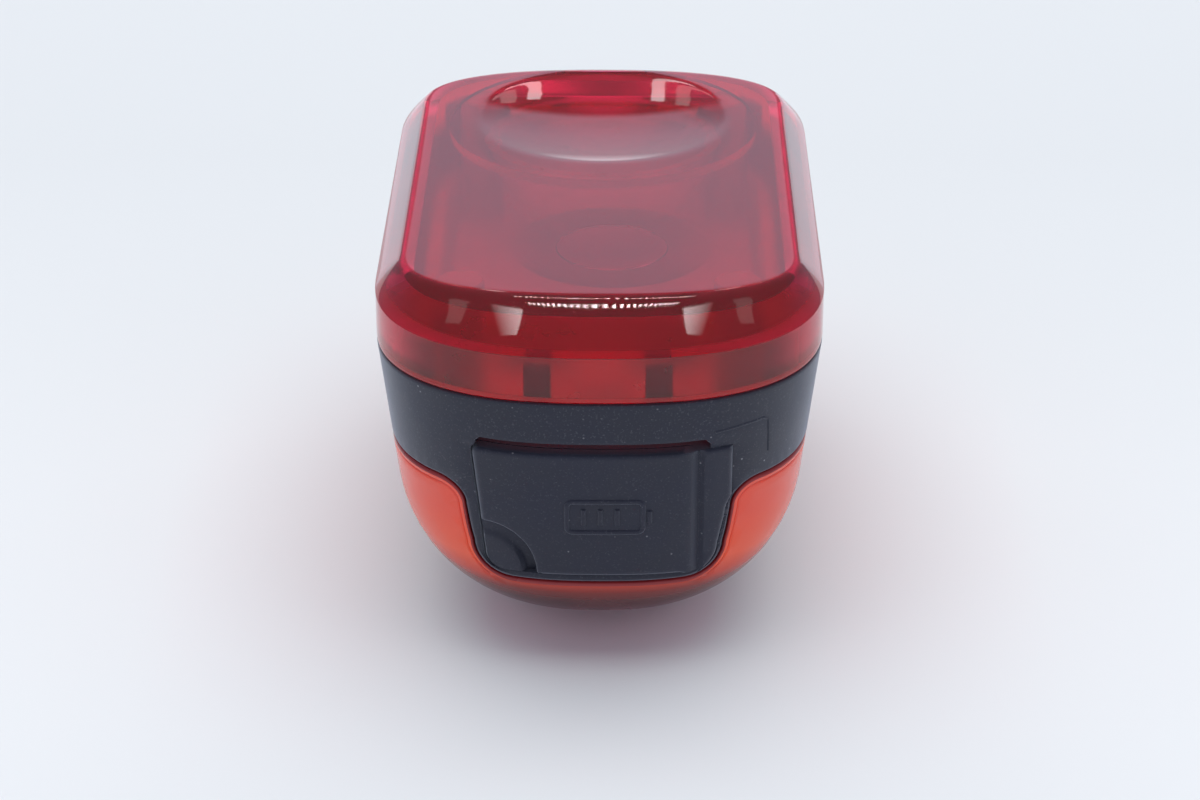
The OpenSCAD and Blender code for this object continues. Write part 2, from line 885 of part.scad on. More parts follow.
module charge_led() {
  color([0.9, 0.9, 0.8]) on_board(-chip_side, -chip_near, [mark_l, mark_w, mark_t]);
}

// Battery

module battery_cell() {
  edge = 1.2;
  color([0.75, 0.76, 0.78])
    translate([0, battery_y1, battery_z + battery_t / 2]) rotate([90, 0, 0]) linear_extrude(battery_l)
      polygon(concat(
        arc([battery_w / 2 - edge, battery_t / 2 - edge], edge, 0, 90),
        arc([-battery_w / 2 + edge, battery_t / 2 - edge], edge, 90, 180),
        arc([-battery_w / 2 + edge, -battery_t / 2 + edge], edge, 180, 270),
        arc([battery_w / 2 - edge, -battery_t / 2 + edge], edge, 270, 360)
      ));
}

module battery_board() {
  color([0.85, 0.65, 0.15])
    translate([-battery_w / 2 + 1, battery_y0, battery_z + battery_t / 4])
      cube([battery_w - 2, battery_board_l, battery_t / 2]);
}

module battery_pad() {
  color([0.25, 0.25, 0.27])
    translate([-battery_w / 2 + pad_in, battery_y0 + pad_in, pad_z])
      cube([battery_w - 2 * pad_in, battery_y1 - battery_y0 - 2 * pad_in, pad_t]);
}

// Leads from the battery's board up to the circuit board
lead_sides = 8;
lead_x = usb_w / 2 + lead_d / 2 + 0.9;
lead_z = battery_z + battery_t / 2;
lead_bend = 1.7;

module lead(x) {
  steps = 6;
  y0 = battery_y0;
  route = concat(
    [[x, y0, lead_z]],
    [
      for (k = [0 : steps])
        let (a = 90 * k / steps)
          [x, y0 - 0.4 - lead_bend * sin(a), lead_z + lead_bend * (1 - cos(a))]
    ],
    [[x, y0 - 0.4 - lead_bend, board_z]]
  );
  angles = concat([0], [for (k = [0 : steps]) 90 * k / steps], [90]);
  loft([
    for (k = [0 : len(route) - 1])
      [
        for (s = [0 : lead_sides - 1])
          let (t = 360 * s / lead_sides, u = lead_d / 2 * cos(t), v = lead_d / 2 * sin(t))
            route[k] + [u, v * sin(angles[k]), v * cos(angles[k])]
      ]
  ]);
}

module lead_positive() {
  color([0.75, 0.05, 0.05]) lead(lead_x);
}

module lead_negative() {
  color([0.04, 0.04, 0.04]) lead(-lead_x);
}

lens_cover();
seal_collar();
rear_shell();
mounting_rail();
rail_screws();
case_screws();
port_flap();
flap_anchor();
power_button();
switch_body();
switch_plunger();
circuit_board();
main_led();
led_dome();
second_led();
reflector_cup();
usb_shell();
usb_tongue();
battery_cell();
battery_board();
battery_pad();
lead_positive();
lead_negative();
driver_chip();
charge_chip();
inductor();
chip_parts();
charge_led();
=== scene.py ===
import math

import bmesh
import bpy
import numpy as np
from mathutils import Euler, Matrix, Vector, geometry


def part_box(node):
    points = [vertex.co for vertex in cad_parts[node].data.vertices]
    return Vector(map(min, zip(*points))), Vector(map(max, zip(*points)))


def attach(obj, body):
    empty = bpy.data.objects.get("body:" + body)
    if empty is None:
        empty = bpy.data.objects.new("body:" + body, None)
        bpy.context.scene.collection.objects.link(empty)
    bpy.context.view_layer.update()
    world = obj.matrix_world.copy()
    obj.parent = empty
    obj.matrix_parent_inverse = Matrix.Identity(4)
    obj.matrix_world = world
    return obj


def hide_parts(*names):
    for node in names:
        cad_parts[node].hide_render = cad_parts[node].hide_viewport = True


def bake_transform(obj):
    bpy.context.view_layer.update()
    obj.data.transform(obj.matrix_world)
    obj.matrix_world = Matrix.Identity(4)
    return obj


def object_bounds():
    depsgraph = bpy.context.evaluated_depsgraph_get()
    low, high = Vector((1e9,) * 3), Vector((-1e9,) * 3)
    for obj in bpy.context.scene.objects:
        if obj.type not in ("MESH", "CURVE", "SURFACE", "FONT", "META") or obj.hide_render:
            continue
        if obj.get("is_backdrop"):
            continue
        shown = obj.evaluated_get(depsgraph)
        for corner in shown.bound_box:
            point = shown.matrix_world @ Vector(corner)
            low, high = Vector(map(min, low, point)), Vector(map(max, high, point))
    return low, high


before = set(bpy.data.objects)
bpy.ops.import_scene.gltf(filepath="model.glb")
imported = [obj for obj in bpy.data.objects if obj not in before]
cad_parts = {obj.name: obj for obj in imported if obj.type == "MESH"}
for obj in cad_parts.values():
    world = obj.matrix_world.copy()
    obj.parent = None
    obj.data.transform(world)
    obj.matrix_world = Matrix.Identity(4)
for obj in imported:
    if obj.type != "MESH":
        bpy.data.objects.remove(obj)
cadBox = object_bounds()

mm = 0.001
scene = bpy.context.scene
print("frame loaded:", len(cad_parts), "nodes")


def linked(name, data):
    obj = bpy.data.objects.new(name, data)
    scene.collection.objects.link(obj)
    return obj


# camera for a 1200 x 800 frame, 26 degrees down on the charging end
camera = {"place": (1.9, -209.3, 111.9), "pitch": 26.2, "yaw": 0.55, "lens": 96.0, "sensor": 36.0, "nearest": 0.01}
camData = bpy.data.cameras.new("photoCamera")
camData.sensor_fit = "HORIZONTAL"
camData.sensor_width = camera["sensor"]
camData.lens = camera["lens"]
camData.clip_start = camera["nearest"]
scene.camera = linked("photoCamera", camData)
scene.camera.location = Vector(camera["place"]) * mm
turn = (math.radians(90 - camera["pitch"]), 0, math.radians(camera["yaw"]))
scene.camera.rotation_euler = Euler(turn, "XYZ")
scene.view_settings.view_transform = "Standard"

# the body's drafted wall, its superelliptic ends and its belly, rounder along the sides, in millimetres
body = {
    "half": 15.0, "mid": 13.0, "end": 13.0, "power": 2.5, "draft": 7.0, "lapSteps": 300, "tableSteps": 8000,
    "bellyZ": 3.0, "bellyEnd": 5.5, "bellySide": 9.5, "seamZ": 14.45, "seatZ": 21.3,
    "straight": 8.6, "straightMore": 1.7, "straightFade": 3.0, "straightZ": (5.9, 6.4, 9.5),
}
tanDraft = math.tan(math.radians(body["draft"]))
cosDraft = math.cos(math.radians(body["draft"]))
sinDraft = math.sin(math.radians(body["draft"]))
seatZ, seamZ = body["seatZ"], body["seamZ"]
tiny = 1e-6


def smoothStep(v, a, b):
    t = np.clip((v - a) / (b - a), 0, 1)
    return t * t * (3 - 2 * t)


def signedPow(v, p):
    return np.sign(v) * np.abs(v) ** p


def floats(*values):
    return [np.asarray(v, float) for v in values]


def insetAt(z, depth=0.0, belly="bellySide"):
    # inset of the wall from the skirt, also round the belly, at a depth under the surface
    z, depth = floats(z, depth)
    straight = (seatZ - z) * tanDraft + depth / cosDraft
    if belly is None:
        return straight
    full = body[belly]
    r, drop = full - depth, body["bellyZ"] + full - z
    curved = full / cosDraft + (seatZ - body["bellyZ"] - full) * tanDraft
    curved = curved - np.sqrt(np.maximum(r * r - drop * drop, 0))
    return np.where(drop > r * sinDraft, curved, straight)


def endAt(inset, x, side=None):
    share = np.clip(np.abs(x) / (body["half"] - (inset if side is None else side)), 0, 1)
    return body["mid"] + (body["end"] - inset) * (1 - share ** body["power"]) ** (1 / body["power"])


def lapPoint(u, half, mid, end):
    # one lap from 0 to 4: left side, charging end, right side, button end
    u = np.asarray(u, float) % 4
    p = 2 / body["power"]
    c, s = signedPow(np.cos(np.pi * (u - 3)), p), signedPow(np.sin(np.pi * (u - 3)), p)
    cn, sn = signedPow(np.cos(np.pi * u), p), signedPow(np.sin(np.pi * u), p)
    x = np.where(u < 1, -half, np.where(u < 2, half * cn, np.where(u < 3, half, half * c)))
    y = np.where(u < 3, mid * (2 * u - 5), mid + end * s)
    y = np.where(u < 1, mid * (1 - 2 * u), np.where(u < 2, -mid + end * sn, y))
    return x, y


def lapInset(u, side=0.0, end=None):
    return lapPoint(u, body["half"] - side, body["mid"], body["end"] - (side if end is None else end))


def inLap(x, y, half, mid, end):
    over = np.maximum(np.abs(y) - mid, 0) / end
    return (np.abs(x) / half) ** body["power"] + over ** body["power"] < 1


def bisect(test, low, high, steps):
    # where a test that holds at the low end stops holding
    for _ in range(steps):
        t = (low + high) / 2
        ok = test(t)
        low, high = np.where(ok, t, low), np.where(ok, high, t)
    return low, high


uTable = np.linspace(0.5, 4.5, body["tableSteps"] + 1)
xTable, yTable = lapInset(uTable)
sTable = np.concatenate([[0], np.cumsum(np.hypot(np.diff(xTable), np.diff(yTable)))])
lapLength = sTable[-1]
lapS = np.linspace(0, lapLength, body["lapSteps"] + 1)
lapU = np.interp(lapS, sTable, uTable)


def sOfX(x, z, far=False):
    # place round the lap of a point across one of the ends
    x, z = floats(x, z)
    share = np.clip(x / (body["half"] - insetAt(z)), -1, 1)
    turn = np.arccos(signedPow(share, body["power"] / 2)) / np.pi
    return np.interp(3 + turn if far else 2 - turn, uTable, sTable)


def onWall(s, z, depth):
    # a point on the wall at a depth; openings in the ends stay straight along Y
    s, z = floats(s, z)
    u = np.interp(s, sTable, uTable) % 4
    side, end = insetAt(z, depth), insetAt(z, depth, "bellyEnd")
    x0, y0 = lapInset(u, insetAt(z), insetAt(z, 0.0, "bellyEnd"))
    x1, y1 = lapInset(u, side, end)
    closedZ, lowZ, highZ = body["straightZ"]
    keep = body["straight"] + body["straightMore"] * smoothStep(z, lowZ, highZ)
    t = smoothStep(np.abs(x0), keep, keep + body["straightFade"])
    x = x0 + (x1 - x0) * np.maximum(t, smoothStep(-z, -lowZ, -closedZ))
    y = np.where(y1 < 0, -1, 1) * endAt(end, x, side)
    onEnd = np.abs(y0) > body["mid"]
    return np.stack([np.where(onEnd, x, x1), np.where(onEnd, y, y1), z + 0 * x], 1)


def straightEnd(sign):
    # places points on the straight drafted wall of the charging end (-1) or the button end (1)
    def place(x, z, depth):
        x, z = floats(x, z)
        return np.stack([x, sign * endAt(insetAt(z, depth, None), x), z + 0 * x], 1)
    return place


onNearEnd, onFarEnd = straightEnd(-1), straightEnd(1)


def unit(v):
    return v / np.maximum(np.hypot(*v.T), 1e-9)[:, None]


def leftOf(v):
    return np.stack([-v[:, 1], v[:, 0]], 1)


def offset(loop, d):
    return loop + d * leftOf(unit(np.roll(loop, -1, 0) - np.roll(loop, 1, 0)))


def closed(loop):
    return np.concatenate([loop, loop[:1]])


def level(points, z):
    return np.column_stack([points, np.full(len(points), z)])


def arcPoints(cx, cz, r, a0, a1, steps=10):
    a = np.radians(np.linspace(a0, a1, steps + 1))
    return np.stack([cx + r * np.cos(a), cz + r * np.sin(a)], 1)


def circlePoints(cx, cy, r, count):
    a = np.linspace(0, 2 * np.pi, count, endpoint=False)
    return np.stack([cx + r * np.cos(a), cy + r * np.sin(a)], 1)


def roundedBox(cx, cz, x, z, r, steps=10):
    # a box with rounded corners, whose centres lie this far from the middle
    corners = ((1, 1, 0), (-1, 1, 90), (-1, -1, 180), (1, -1, 270))
    return np.concatenate([arcPoints(cx + i * x, cz + k * z, r, a, a + 90, steps) for i, k, a in corners])


def splitLong(loop, step, closed=True):
    # points added along the long edges of a path
    loop = np.asarray(loop, float)
    out = []
    for k in range(len(loop) if closed else len(loop) - 1):
        a, b = loop[k], loop[(k + 1) % len(loop)]
        n = max(1, int(math.ceil(np.hypot(*(b - a)) / step)))
        out += [a + (b - a) * j / n for j in range(n)]
    return np.array(out if closed else out + [loop[-1]])


def insideLoops(p, loops):
    odd = np.zeros(len(p), bool)
    for loop in loops:
        for (ax, ay), (bx, by) in zip(loop, np.roll(loop, -1, 0)):
            if ay != by:
                across = p[:, 0] < (bx - ax) * (p[:, 1] - ay) / (by - ay) + ax
                odd ^= ((ay > p[:, 1]) != (by > p[:, 1])) & across
    return odd


def edgeDistance(p, path, closed=True, keep=None):
    best = np.full(len(p), 1e9)
    for q, r in zip(path if closed else path[:-1], np.roll(path, -1, 0)):
        if keep is None or keep((q + r) / 2):
            d = r - q
            t = np.clip(((p - q) @ d) / max(d @ d, 1e-12), 0, 1)
            best = np.minimum(best, np.hypot(*(p - q - t[:, None] * d).T))
    return best


def signedDistance(p, loop):
    # positive inside the loop
    return np.where(insideLoops(p, [loop]), 1, -1) * edgeDistance(p, loop)


def loopArea(loop):
    x, y = loop.T
    return 0.5 * np.sum(x * np.roll(y, -1) - np.roll(x, -1) * y)


# how far points stay clear of edges and lines: row in shares of its distance, the last three of the grid's step
clear = {"row": 0.92, "line": 0.02, "loose": 0.03, "grid": 0.45, "gridRow": 0.87, "gridLine": 0.3}


def fillRegion(loops, step, rows=(), extra=(), lines=()):
    # triangles of a flat region: its edges, rows of points along them, loose points and lines, and a grid
    loops = [l if (loopArea(l) > 0) == (k == 0) else l[::-1] for k, l in enumerate(loops)]
    points, edges, marks = [], [], []
    for loop in loops:
        mark = [len(points) + k for k in range(len(loop))]
        edges += list(zip(mark, mark[1:] + mark[:1]))
        points += list(loop)
        marks.append(mark)

    def inside(p, gap):
        return insideLoops(p, loops) & (np.min([edgeDistance(p, l) for l in loops], 0) > gap)

    for d in rows:
        cand = np.concatenate([offset(loop, d) for loop in loops])
        points += list(cand[inside(cand, clear["row"] * d)])
    for path in lines:
        last = None
        for q, good in zip(path, inside(path, clear["line"])):
            if good:
                points.append(q)
                if last is not None:
                    edges.append((last, len(points) - 1))
            last = len(points) - 1 if good else None
    for cand in extra:
        points += list(cand[inside(cand, clear["loose"])])
    low, high = loops[0].min(0), loops[0].max(0)
    gx, gy = np.arange(low[0], high[0], step), np.arange(low[1], high[1], step * clear["gridRow"])
    grid = np.array([(x + (0.5 * step if j % 2 else 0), y) for j, y in enumerate(gy) for x in gx])
    grid = grid[inside(grid, max(rows, default=0) + clear["grid"] * step)]
    if len(grid) and lines:
        near = np.min([edgeDistance(grid, l, closed=False) for l in lines], 0)
        grid = grid[near > clear["gridLine"] * step]
    flat = [Vector((float(x), float(y))) for x, y in points + list(grid)]
    made = geometry.delaunay_2d_cdt(flat, edges, [], 0, tiny, True)
    place = np.array([tuple(v) for v in made[0]])
    back = {old: new for new, olds in enumerate(made[3]) for old in olds}
    tris = np.array([f for f in made[2] if len(f) == 3])
    tris = tris[insideLoops(place[tris].mean(1), loops)]
    return place, tris, [[back[k] for k in m] for m in marks], loops


def filled(loops, step, rows=(), extra=(), lines=()):
    # a region with its points and their distances from its outer edge
    region = fillRegion(loops, step, rows, extra, lines)
    return region, region[0], edgeDistance(region[0], region[3][0])


def roundOff(dist, r):
    # depth of a rounded edge at a distance from it
    d = np.clip(dist, 0, r)
    return r - np.sqrt(np.maximum(r * r - (r - d) ** 2, 0))


def evenOut(obj, sharp, weight=80):
    # smooth shading, with edges over this angle kept sharp
    obj.data.shade_smooth()
    obj.data.set_sharp_from_angle(angle=math.radians(sharp))
    even = obj.modifiers.new("evenNormals", "WEIGHTED_NORMAL")
    even.keep_sharp = True
    even.weight = weight


class Mesher:
    # gathers the closed shells of one piece
    def __init__(self):
        self.verts, self.faces, self.tints = [], [], []
        self.tint = 0

    def add(self, verts, faces):
        first = len(self.verts)
        self.verts += [tuple(map(float, v)) for v in verts]
        self.faces += [tuple(int(i) + first for i in f) for f in faces]
        self.tints += [self.tint] * len(faces)

    def plate(self, region, place, outer, inner, isOpen=None):
        # two faces over one flat region, joined along its edges
        p, tris, marks, _ = region
        n = len(p)
        faces = [tuple(t) for t in tris] + [(a + n, c + n, b + n) for a, b, c in tris]
        for mark in marks:
            for a, b in zip(mark, mark[1:] + mark[:1]):
                if isOpen is None or not isOpen(p[a], p[b]):
                    faces.append((b, a, a + n, b + n))
        self.add(np.concatenate([place(*p.T, outer), place(*p.T, inner)]), faces)

    def loft(self, rings, closeEnds=True):
        # rings of equal count, one after the other
        n = len(rings[0])
        faces = []
        for r in range(len(rings) - 1):
            for k in range(n):
                a, b = r * n + k, r * n + (k + 1) % n
                faces.append((a, b, b + n, a + n))
        if closeEnds:
            faces.append(tuple(range(n - 1, -1, -1)))
            faces.append(tuple((len(rings) - 1) * n + k for k in range(n)))
        self.add(np.concatenate(rings), faces)

    def tube(self, path, radius, sides, up, flat=1.0, closed=False):
        # round or flattened bead along a path
        path = [Vector(p) for p in path]
        rings = []
        n = len(path)
        for k, p in enumerate(path):
            if closed:
                t = path[(k + 1) % n] - path[k - 1]
            else:
                t = path[min(k + 1, n - 1)] - path[max(k - 1, 0)]
            side = t.normalized().cross(Vector(up)).normalized()
            lift = side.cross(t).normalized() * radius * flat
            turns = [2 * math.pi * j / sides for j in range(sides)]
            rings.append(np.array([tuple(p + side * radius * math.cos(a) + lift * math.sin(a)) for a in turns]))
        self.loft(rings + rings[:1] if closed else rings, closeEnds=not closed)

    def bead(self, path, radius, flat, sides, step, depth, closed=False):
        # a raised line on the charging end
        path = splitLong(path, step, closed)
        self.tube(onNearEnd(*path.T, depth), radius, sides, (0, -1, 0.12), flat, closed)

    def mesh(self, name):
        made = bpy.data.meshes.new(name)
        made.from_pydata([(x * mm, y * mm, z * mm) for x, y, z in self.verts], [], self.faces)
        return made

    def piece(self, name, finish, sharp, nodes=(), rides="housing"):
        mesh = self.mesh(name)
        mesh.polygons.foreach_set("material_index", self.tints)
        bm = bmesh.new()
        bm.from_mesh(mesh)
        bmesh.ops.remove_doubles(bm, verts=bm.verts, dist=1e-7)
        bmesh.ops.dissolve_degenerate(bm, dist=1e-8, edges=bm.edges)
        bmesh.ops.recalc_face_normals(bm, faces=bm.faces)
        bm.to_mesh(mesh)
        bm.free()
        obj = linked(name, mesh)
        evenOut(obj, sharp)
        for one in finish if isinstance(finish, tuple) else (finish,):
            mesh.materials.append(one)
        if rides:
            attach(obj, rides)
        if nodes:
            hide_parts(*nodes)
        return obj


class Finish:
    # one node material, in the object's own coordinates in metres, or the world, by direction
    def __init__(self, name, world=False):
        self.data = (bpy.data.worlds if world else bpy.data.materials).new(name)
        self.data.use_nodes = True
        self.tree = self.data.node_tree
        self.tree.nodes.clear()
        self.out = self.node("ShaderNodeOutputWorld" if world else "ShaderNodeOutputMaterial")
        self.coords = self.node("ShaderNodeTexCoord").outputs["Generated" if world else "Object"]

    def put(self, socket, value):
        # links a socket, or sets a colour or a number
        if isinstance(value, bpy.types.NodeSocket):
            self.tree.links.new(value, socket)
        elif isinstance(value, tuple) and len(value) == 3 and socket.type == "RGBA":
            socket.default_value = (*value, 1)
        else:
            socket.default_value = value

    def node(self, kind, **values):
        # values are inputs, with _ for a space, or the node's own settings
        made = self.tree.nodes.new(kind)
        for key, value in values.items():
            name = key.replace("_", " ")
            if name in made.inputs:
                self.put(made.inputs[name], value)
            else:
                setattr(made, key, value)
        return made

    def filledNode(self, kind, sockets, **values):
        # a node whose inputs are told apart by their place
        made = self.node(kind, **values)
        for k, value in sockets.items():
            self.put(made.inputs[k], value)
        return made

    def axis(self, name):
        return self.node("ShaderNodeSeparateXYZ", Vector=self.coords).outputs[name]

    def maths(self, operation, *values):
        return self.filledNode("ShaderNodeMath", dict(enumerate(values)), operation=operation).outputs[0]

    def noise(self, size, detail=3.0, rough=0.55, stretch=None):
        # noise whose features are about this many millimetres across
        at = self.coords
        if stretch:
            at = self.node("ShaderNodeMapping", Vector=at, Scale=stretch).outputs["Vector"]
        made = self.node("ShaderNodeTexNoise", Vector=at, Scale=1 / (size * mm), Detail=detail, Roughness=rough)
        return made.outputs["Fac"]

    def ramp(self, source, *stops):
        made = self.node("ShaderNodeValToRGB", Fac=source)
        elements = made.color_ramp.elements
        while len(elements) < len(stops):
            elements.new(0.5)
        for element, (at, colour) in zip(elements, stops):
            element.position = at
            element.color = (*colour, 1)
        return made.outputs["Color"]

    def step(self, source, low, high):
        return self.ramp(source, (low, (0, 0, 0)), (high, (1, 1, 1)))

    def spread(self, source, low, high, fromLow=0.3, fromHigh=0.7):
        return self.node("ShaderNodeMapRange", Value=source, From_Min=fromLow, From_Max=fromHigh,
                         To_Min=low, To_Max=high).outputs["Result"]

    def mixColour(self, fac, a, b):
        return self.filledNode("ShaderNodeMix", {0: fac, 6: a, 7: b}, data_type="RGBA").outputs[2]

    def bump(self, height, strength, distance, **before):
        return self.node("ShaderNodeBump", Strength=strength, Distance=distance * mm, Height=height,
                         **before).outputs["Normal"]

    def shader(self, **values):
        return self.node("ShaderNodeBsdfPrincipled", **values).outputs[0]

    def glow(self, **values):
        return self.done(self.node("ShaderNodeEmission", **values).outputs[0])

    def letThrough(self, shader, colour):
        # light from the lamps passes with a tint
        tinted = self.node("ShaderNodeBsdfTransparent", Color=colour).outputs[0]
        isShadow = self.node("ShaderNodeLightPath").outputs["Is Shadow Ray"]
        return self.filledNode("ShaderNodeMixShader", {0: isShadow, 1: shader, 2: tinted}).outputs[0]

    def done(self, shader):
        self.put(self.out.inputs["Surface"], shader)
        return self.data


def shaded(colour, by):
    return tuple(min(1, c * by) for c in colour)


def rubberFinish(name, colour, dust):
    # matte moulded rubber with a fine grain, fine dust all over and a few larger specks
    f = Finish(name)
    grain, cloud = f.noise(0.12, 4), f.noise(4.0, 3)
    base = f.ramp(cloud, (0.3, shaded(colour, 0.9)), (0.7, shaded(colour, 1.15)))
    fine = f.spread(f.noise(0.16, 2, 0.8), 0.0, 0.5 * dust, 0.58, 0.76)
    dusty = f.mixColour(fine, base, (0.2, 0.205, 0.23))
    specks = f.node("ShaderNodeTexVoronoi", Vector=f.coords, Scale=1 / (0.8 * mm), Randomness=1.0)
    pick = f.spread(specks.outputs["Distance"], dust, 0.0, 0.05, 0.1)
    patchy = f.spread(f.noise(1.7, 2), 0.0, 1.0, 0.5, 0.6)
    tone = f.mixColour(f.maths("MULTIPLY", pick, patchy), dusty, (0.36, 0.36, 0.39))
    normal = f.bump(grain, 0.25, 0.02, Normal=f.bump(cloud, 0.2, 0.05))
    return f.done(f.shader(Base_Color=tone, Roughness=f.spread(cloud, 0.5, 0.62), Normal=normal,
                           Specular_IOR_Level=0.38, Sheen_Weight=0.45, Sheen_Roughness=0.45,
                           Sheen_Tint=(0.8, 0.86, 1.0)))


def lensFinish(name, rough, cloudy):
    # clear red plastic
    f = Finish(name)
    haze = f.noise(3.0, 4)
    glass = f.shader(Base_Color=(0.78, 0.0115, 0.06), Roughness=f.spread(haze, *rough), IOR=1.53,
                     Transmission_Weight=cloudy, Normal=f.bump(f.noise(6.0, 2), 0.05, 0.05))
    return f.done(f.letThrough(glass, (0.92, 0.08, 0.18)))


def shellFinish():
    # frosted orange-red plastic, cloudy inside and half gloss outside; its colour by height holds painted shade and
    # painted light: darker towards the belly, a slightly brighter band low on the wall, and a lighter red on the
    # belly's flat bottom that casts a painted red glow onto the floor
    f = Finish("frostedRedShellPaintedShade")
    grain, cloud = f.noise(0.18, 4), f.noise(7.0, 3)
    height = f.spread(f.axis("Z"), 0.0, 1.0, 0.0035, 0.0145)
    # painted shade and light by height: dark low on the belly, brightest near 8.5 mm up, lighter red again below 3.5
    # mm to bounce a red glow under the body
    tone = f.ramp(height, (0.0, (0.5, 0.04, 0.08)), (0.05, (0.06, 0.01, 0.02)), (0.08, (0.03, 0.006, 0.012)),
                  (0.17, (0.04, 0.006, 0.01)), (0.26, (0.2, 0.018, 0.015)), (0.34, (0.62, 0.052, 0.024)),
                  (0.46, (0.93, 0.1, 0.034)), (0.75, (0.9, 0.083, 0.04)), (1.0, (0.88, 0.09, 0.05)))
    mottled = f.mixColour(f.spread(cloud, 0.0, 0.09), tone, (0.55, 0.05, 0.03))
    frost = f.shader(Base_Color=mottled, Roughness=f.spread(cloud, 0.2, 0.28), Normal=f.bump(grain, 0.06, 0.01),
                     Transmission_Weight=0.1, IOR=1.5, Coat_Weight=0.12, Coat_Roughness=0.1)
    return f.done(f.letThrough(frost, (0.7, 0.3, 0.45)))


def mouldedFinish(name, colour, rough=(0.4, 0.55), grain=0.15, strength=0.15, **more):
    # moulded plastic or resin with a fine grain and slight unevenness
    f = Finish(name)
    fine, cloud = f.noise(grain, 4), f.noise(grain * 20, 3)
    tone = f.ramp(cloud, (0.3, shaded(colour, 0.88)), (0.7, shaded(colour, 1.1)))
    return f.done(f.shader(Base_Color=tone, Roughness=f.spread(cloud, *rough),
                           Normal=f.bump(fine, strength, 0.02), **more))


def metalFinish(name, colour, rough=(0.22, 0.38), brushed=(1, 1, 1), size=0.2):
    f = Finish(name)
    lines = f.noise(size, 5, 0.6, brushed)
    tone = f.ramp(lines, (0.25, shaded(colour, 0.8)), (0.75, colour))
    return f.done(f.shader(Base_Color=tone, Metallic=1.0, Roughness=f.spread(lines, *rough),
                           Normal=f.bump(lines, 0.12, 0.01)))


def boardFinish():
    # white solder resist over faint copper tracks
    f = Finish("solderResist")
    tracks = f.node("ShaderNodeTexBrick", Vector=f.coords, Scale=1 / (4 * mm), offset=0.37, squash=1.3,
                    Mortar_Size=0.05, Color1=(0.74, 0.74, 0.72), Color2=(0.77, 0.77, 0.75), Mortar=(0.7, 0.69, 0.64))
    return f.done(f.shader(Base_Color=tracks.outputs["Color"], Roughness=f.spread(f.noise(1.0), 0.25, 0.4),
                           Normal=f.bump(tracks.outputs["Fac"], 0.3, 0.04)))


collarRubber = rubberFinish("collarRubber", (0.009, 0.0102, 0.0225), 0.6)
flapRubber = rubberFinish("flapRubber", (0.009, 0.0102, 0.0235), 0.35)
buttonRubber = rubberFinish("buttonRubber", (0.019, 0.021, 0.032), 0.3)
lensRed = lensFinish("polishedRedLens", (0.015, 0.04), 0.985)
lensFrost = lensFinish("frostedLensInside", (0.1, 0.17), 0.96)
lensWall = lensFinish("frostedLensWall", (0.26, 0.36), 0.93)
# painted light: an opaque red for the lens's bottom face, standing in for light carried down the clear wall
paintedLightLensBase = mouldedFinish("paintedLightLensBaseFinish", (0.4, 0.008, 0.018), (0.3, 0.45), 0.3, 0.1)
lensPost = mouldedFinish("lensPost", (0.45, 0.014, 0.025), (0.3, 0.45), 0.3, 0.1)
shellRed = shellFinish()
# painted shade for the shell's lip along the collar
paintedShadeShellLip = mouldedFinish("paintedShadeShellLip", (0.26, 0.016, 0.018), (0.25, 0.35), 0.2, 0.1)
railBlack = mouldedFinish("railBlack", (0.018, 0.018, 0.02), (0.45, 0.6), 0.12, 0.3)
switchBlack = mouldedFinish("switchBlack", (0.03, 0.03, 0.034), (0.35, 0.5))
plungerCream = mouldedFinish("plungerCream", (0.72, 0.66, 0.5), (0.3, 0.45))
chipBlack = mouldedFinish("chipBlack", (0.025, 0.025, 0.028), (0.45, 0.6), 0.08)
chipTan = mouldedFinish("chipTan", (0.36, 0.26, 0.17), (0.4, 0.6), 0.1)
ferriteGrey = mouldedFinish("ferriteGrey", (0.09, 0.09, 0.095), (0.5, 0.7), 0.1, 0.3)
diodeWhite = mouldedFinish("diodeWhite", (0.8, 0.77, 0.68), (0.3, 0.45), 0.1)
tapeAmber = mouldedFinish("tapeAmber", (0.6, 0.33, 0.05), (0.25, 0.4), 0.5, 0.2)
foamGrey = mouldedFinish("foamGrey", (0.11, 0.11, 0.118), (0.85, 0.95), 0.25, 0.8)
leadRed = mouldedFinish("leadRed", (0.5, 0.02, 0.02), (0.35, 0.5))
leadBlack = mouldedFinish("leadBlack", (0.018, 0.018, 0.018), (0.35, 0.5))
diodeClear = mouldedFinish("diodeClear", (0.9, 0.7, 0.55), (0.05, 0.12), 0.4, 0.05, Transmission_Weight=0.8, IOR=1.45)
screwSteel = metalFinish("screwSteel", (0.62, 0.63, 0.65))
portSteel = metalFinish("portSteel", (0.66, 0.66, 0.68), (0.18, 0.3), (1, 8, 1))
cupSilver = metalFinish("cupSilver", (0.92, 0.9, 0.87), (0.25, 0.4), size=1.0)
cellFoil = metalFinish("cellFoil", (0.7, 0.71, 0.73), (0.3, 0.45), (1, 3, 1), 0.6)
boardWhite = boardFinish()
print("finishes made:", len(bpy.data.materials))

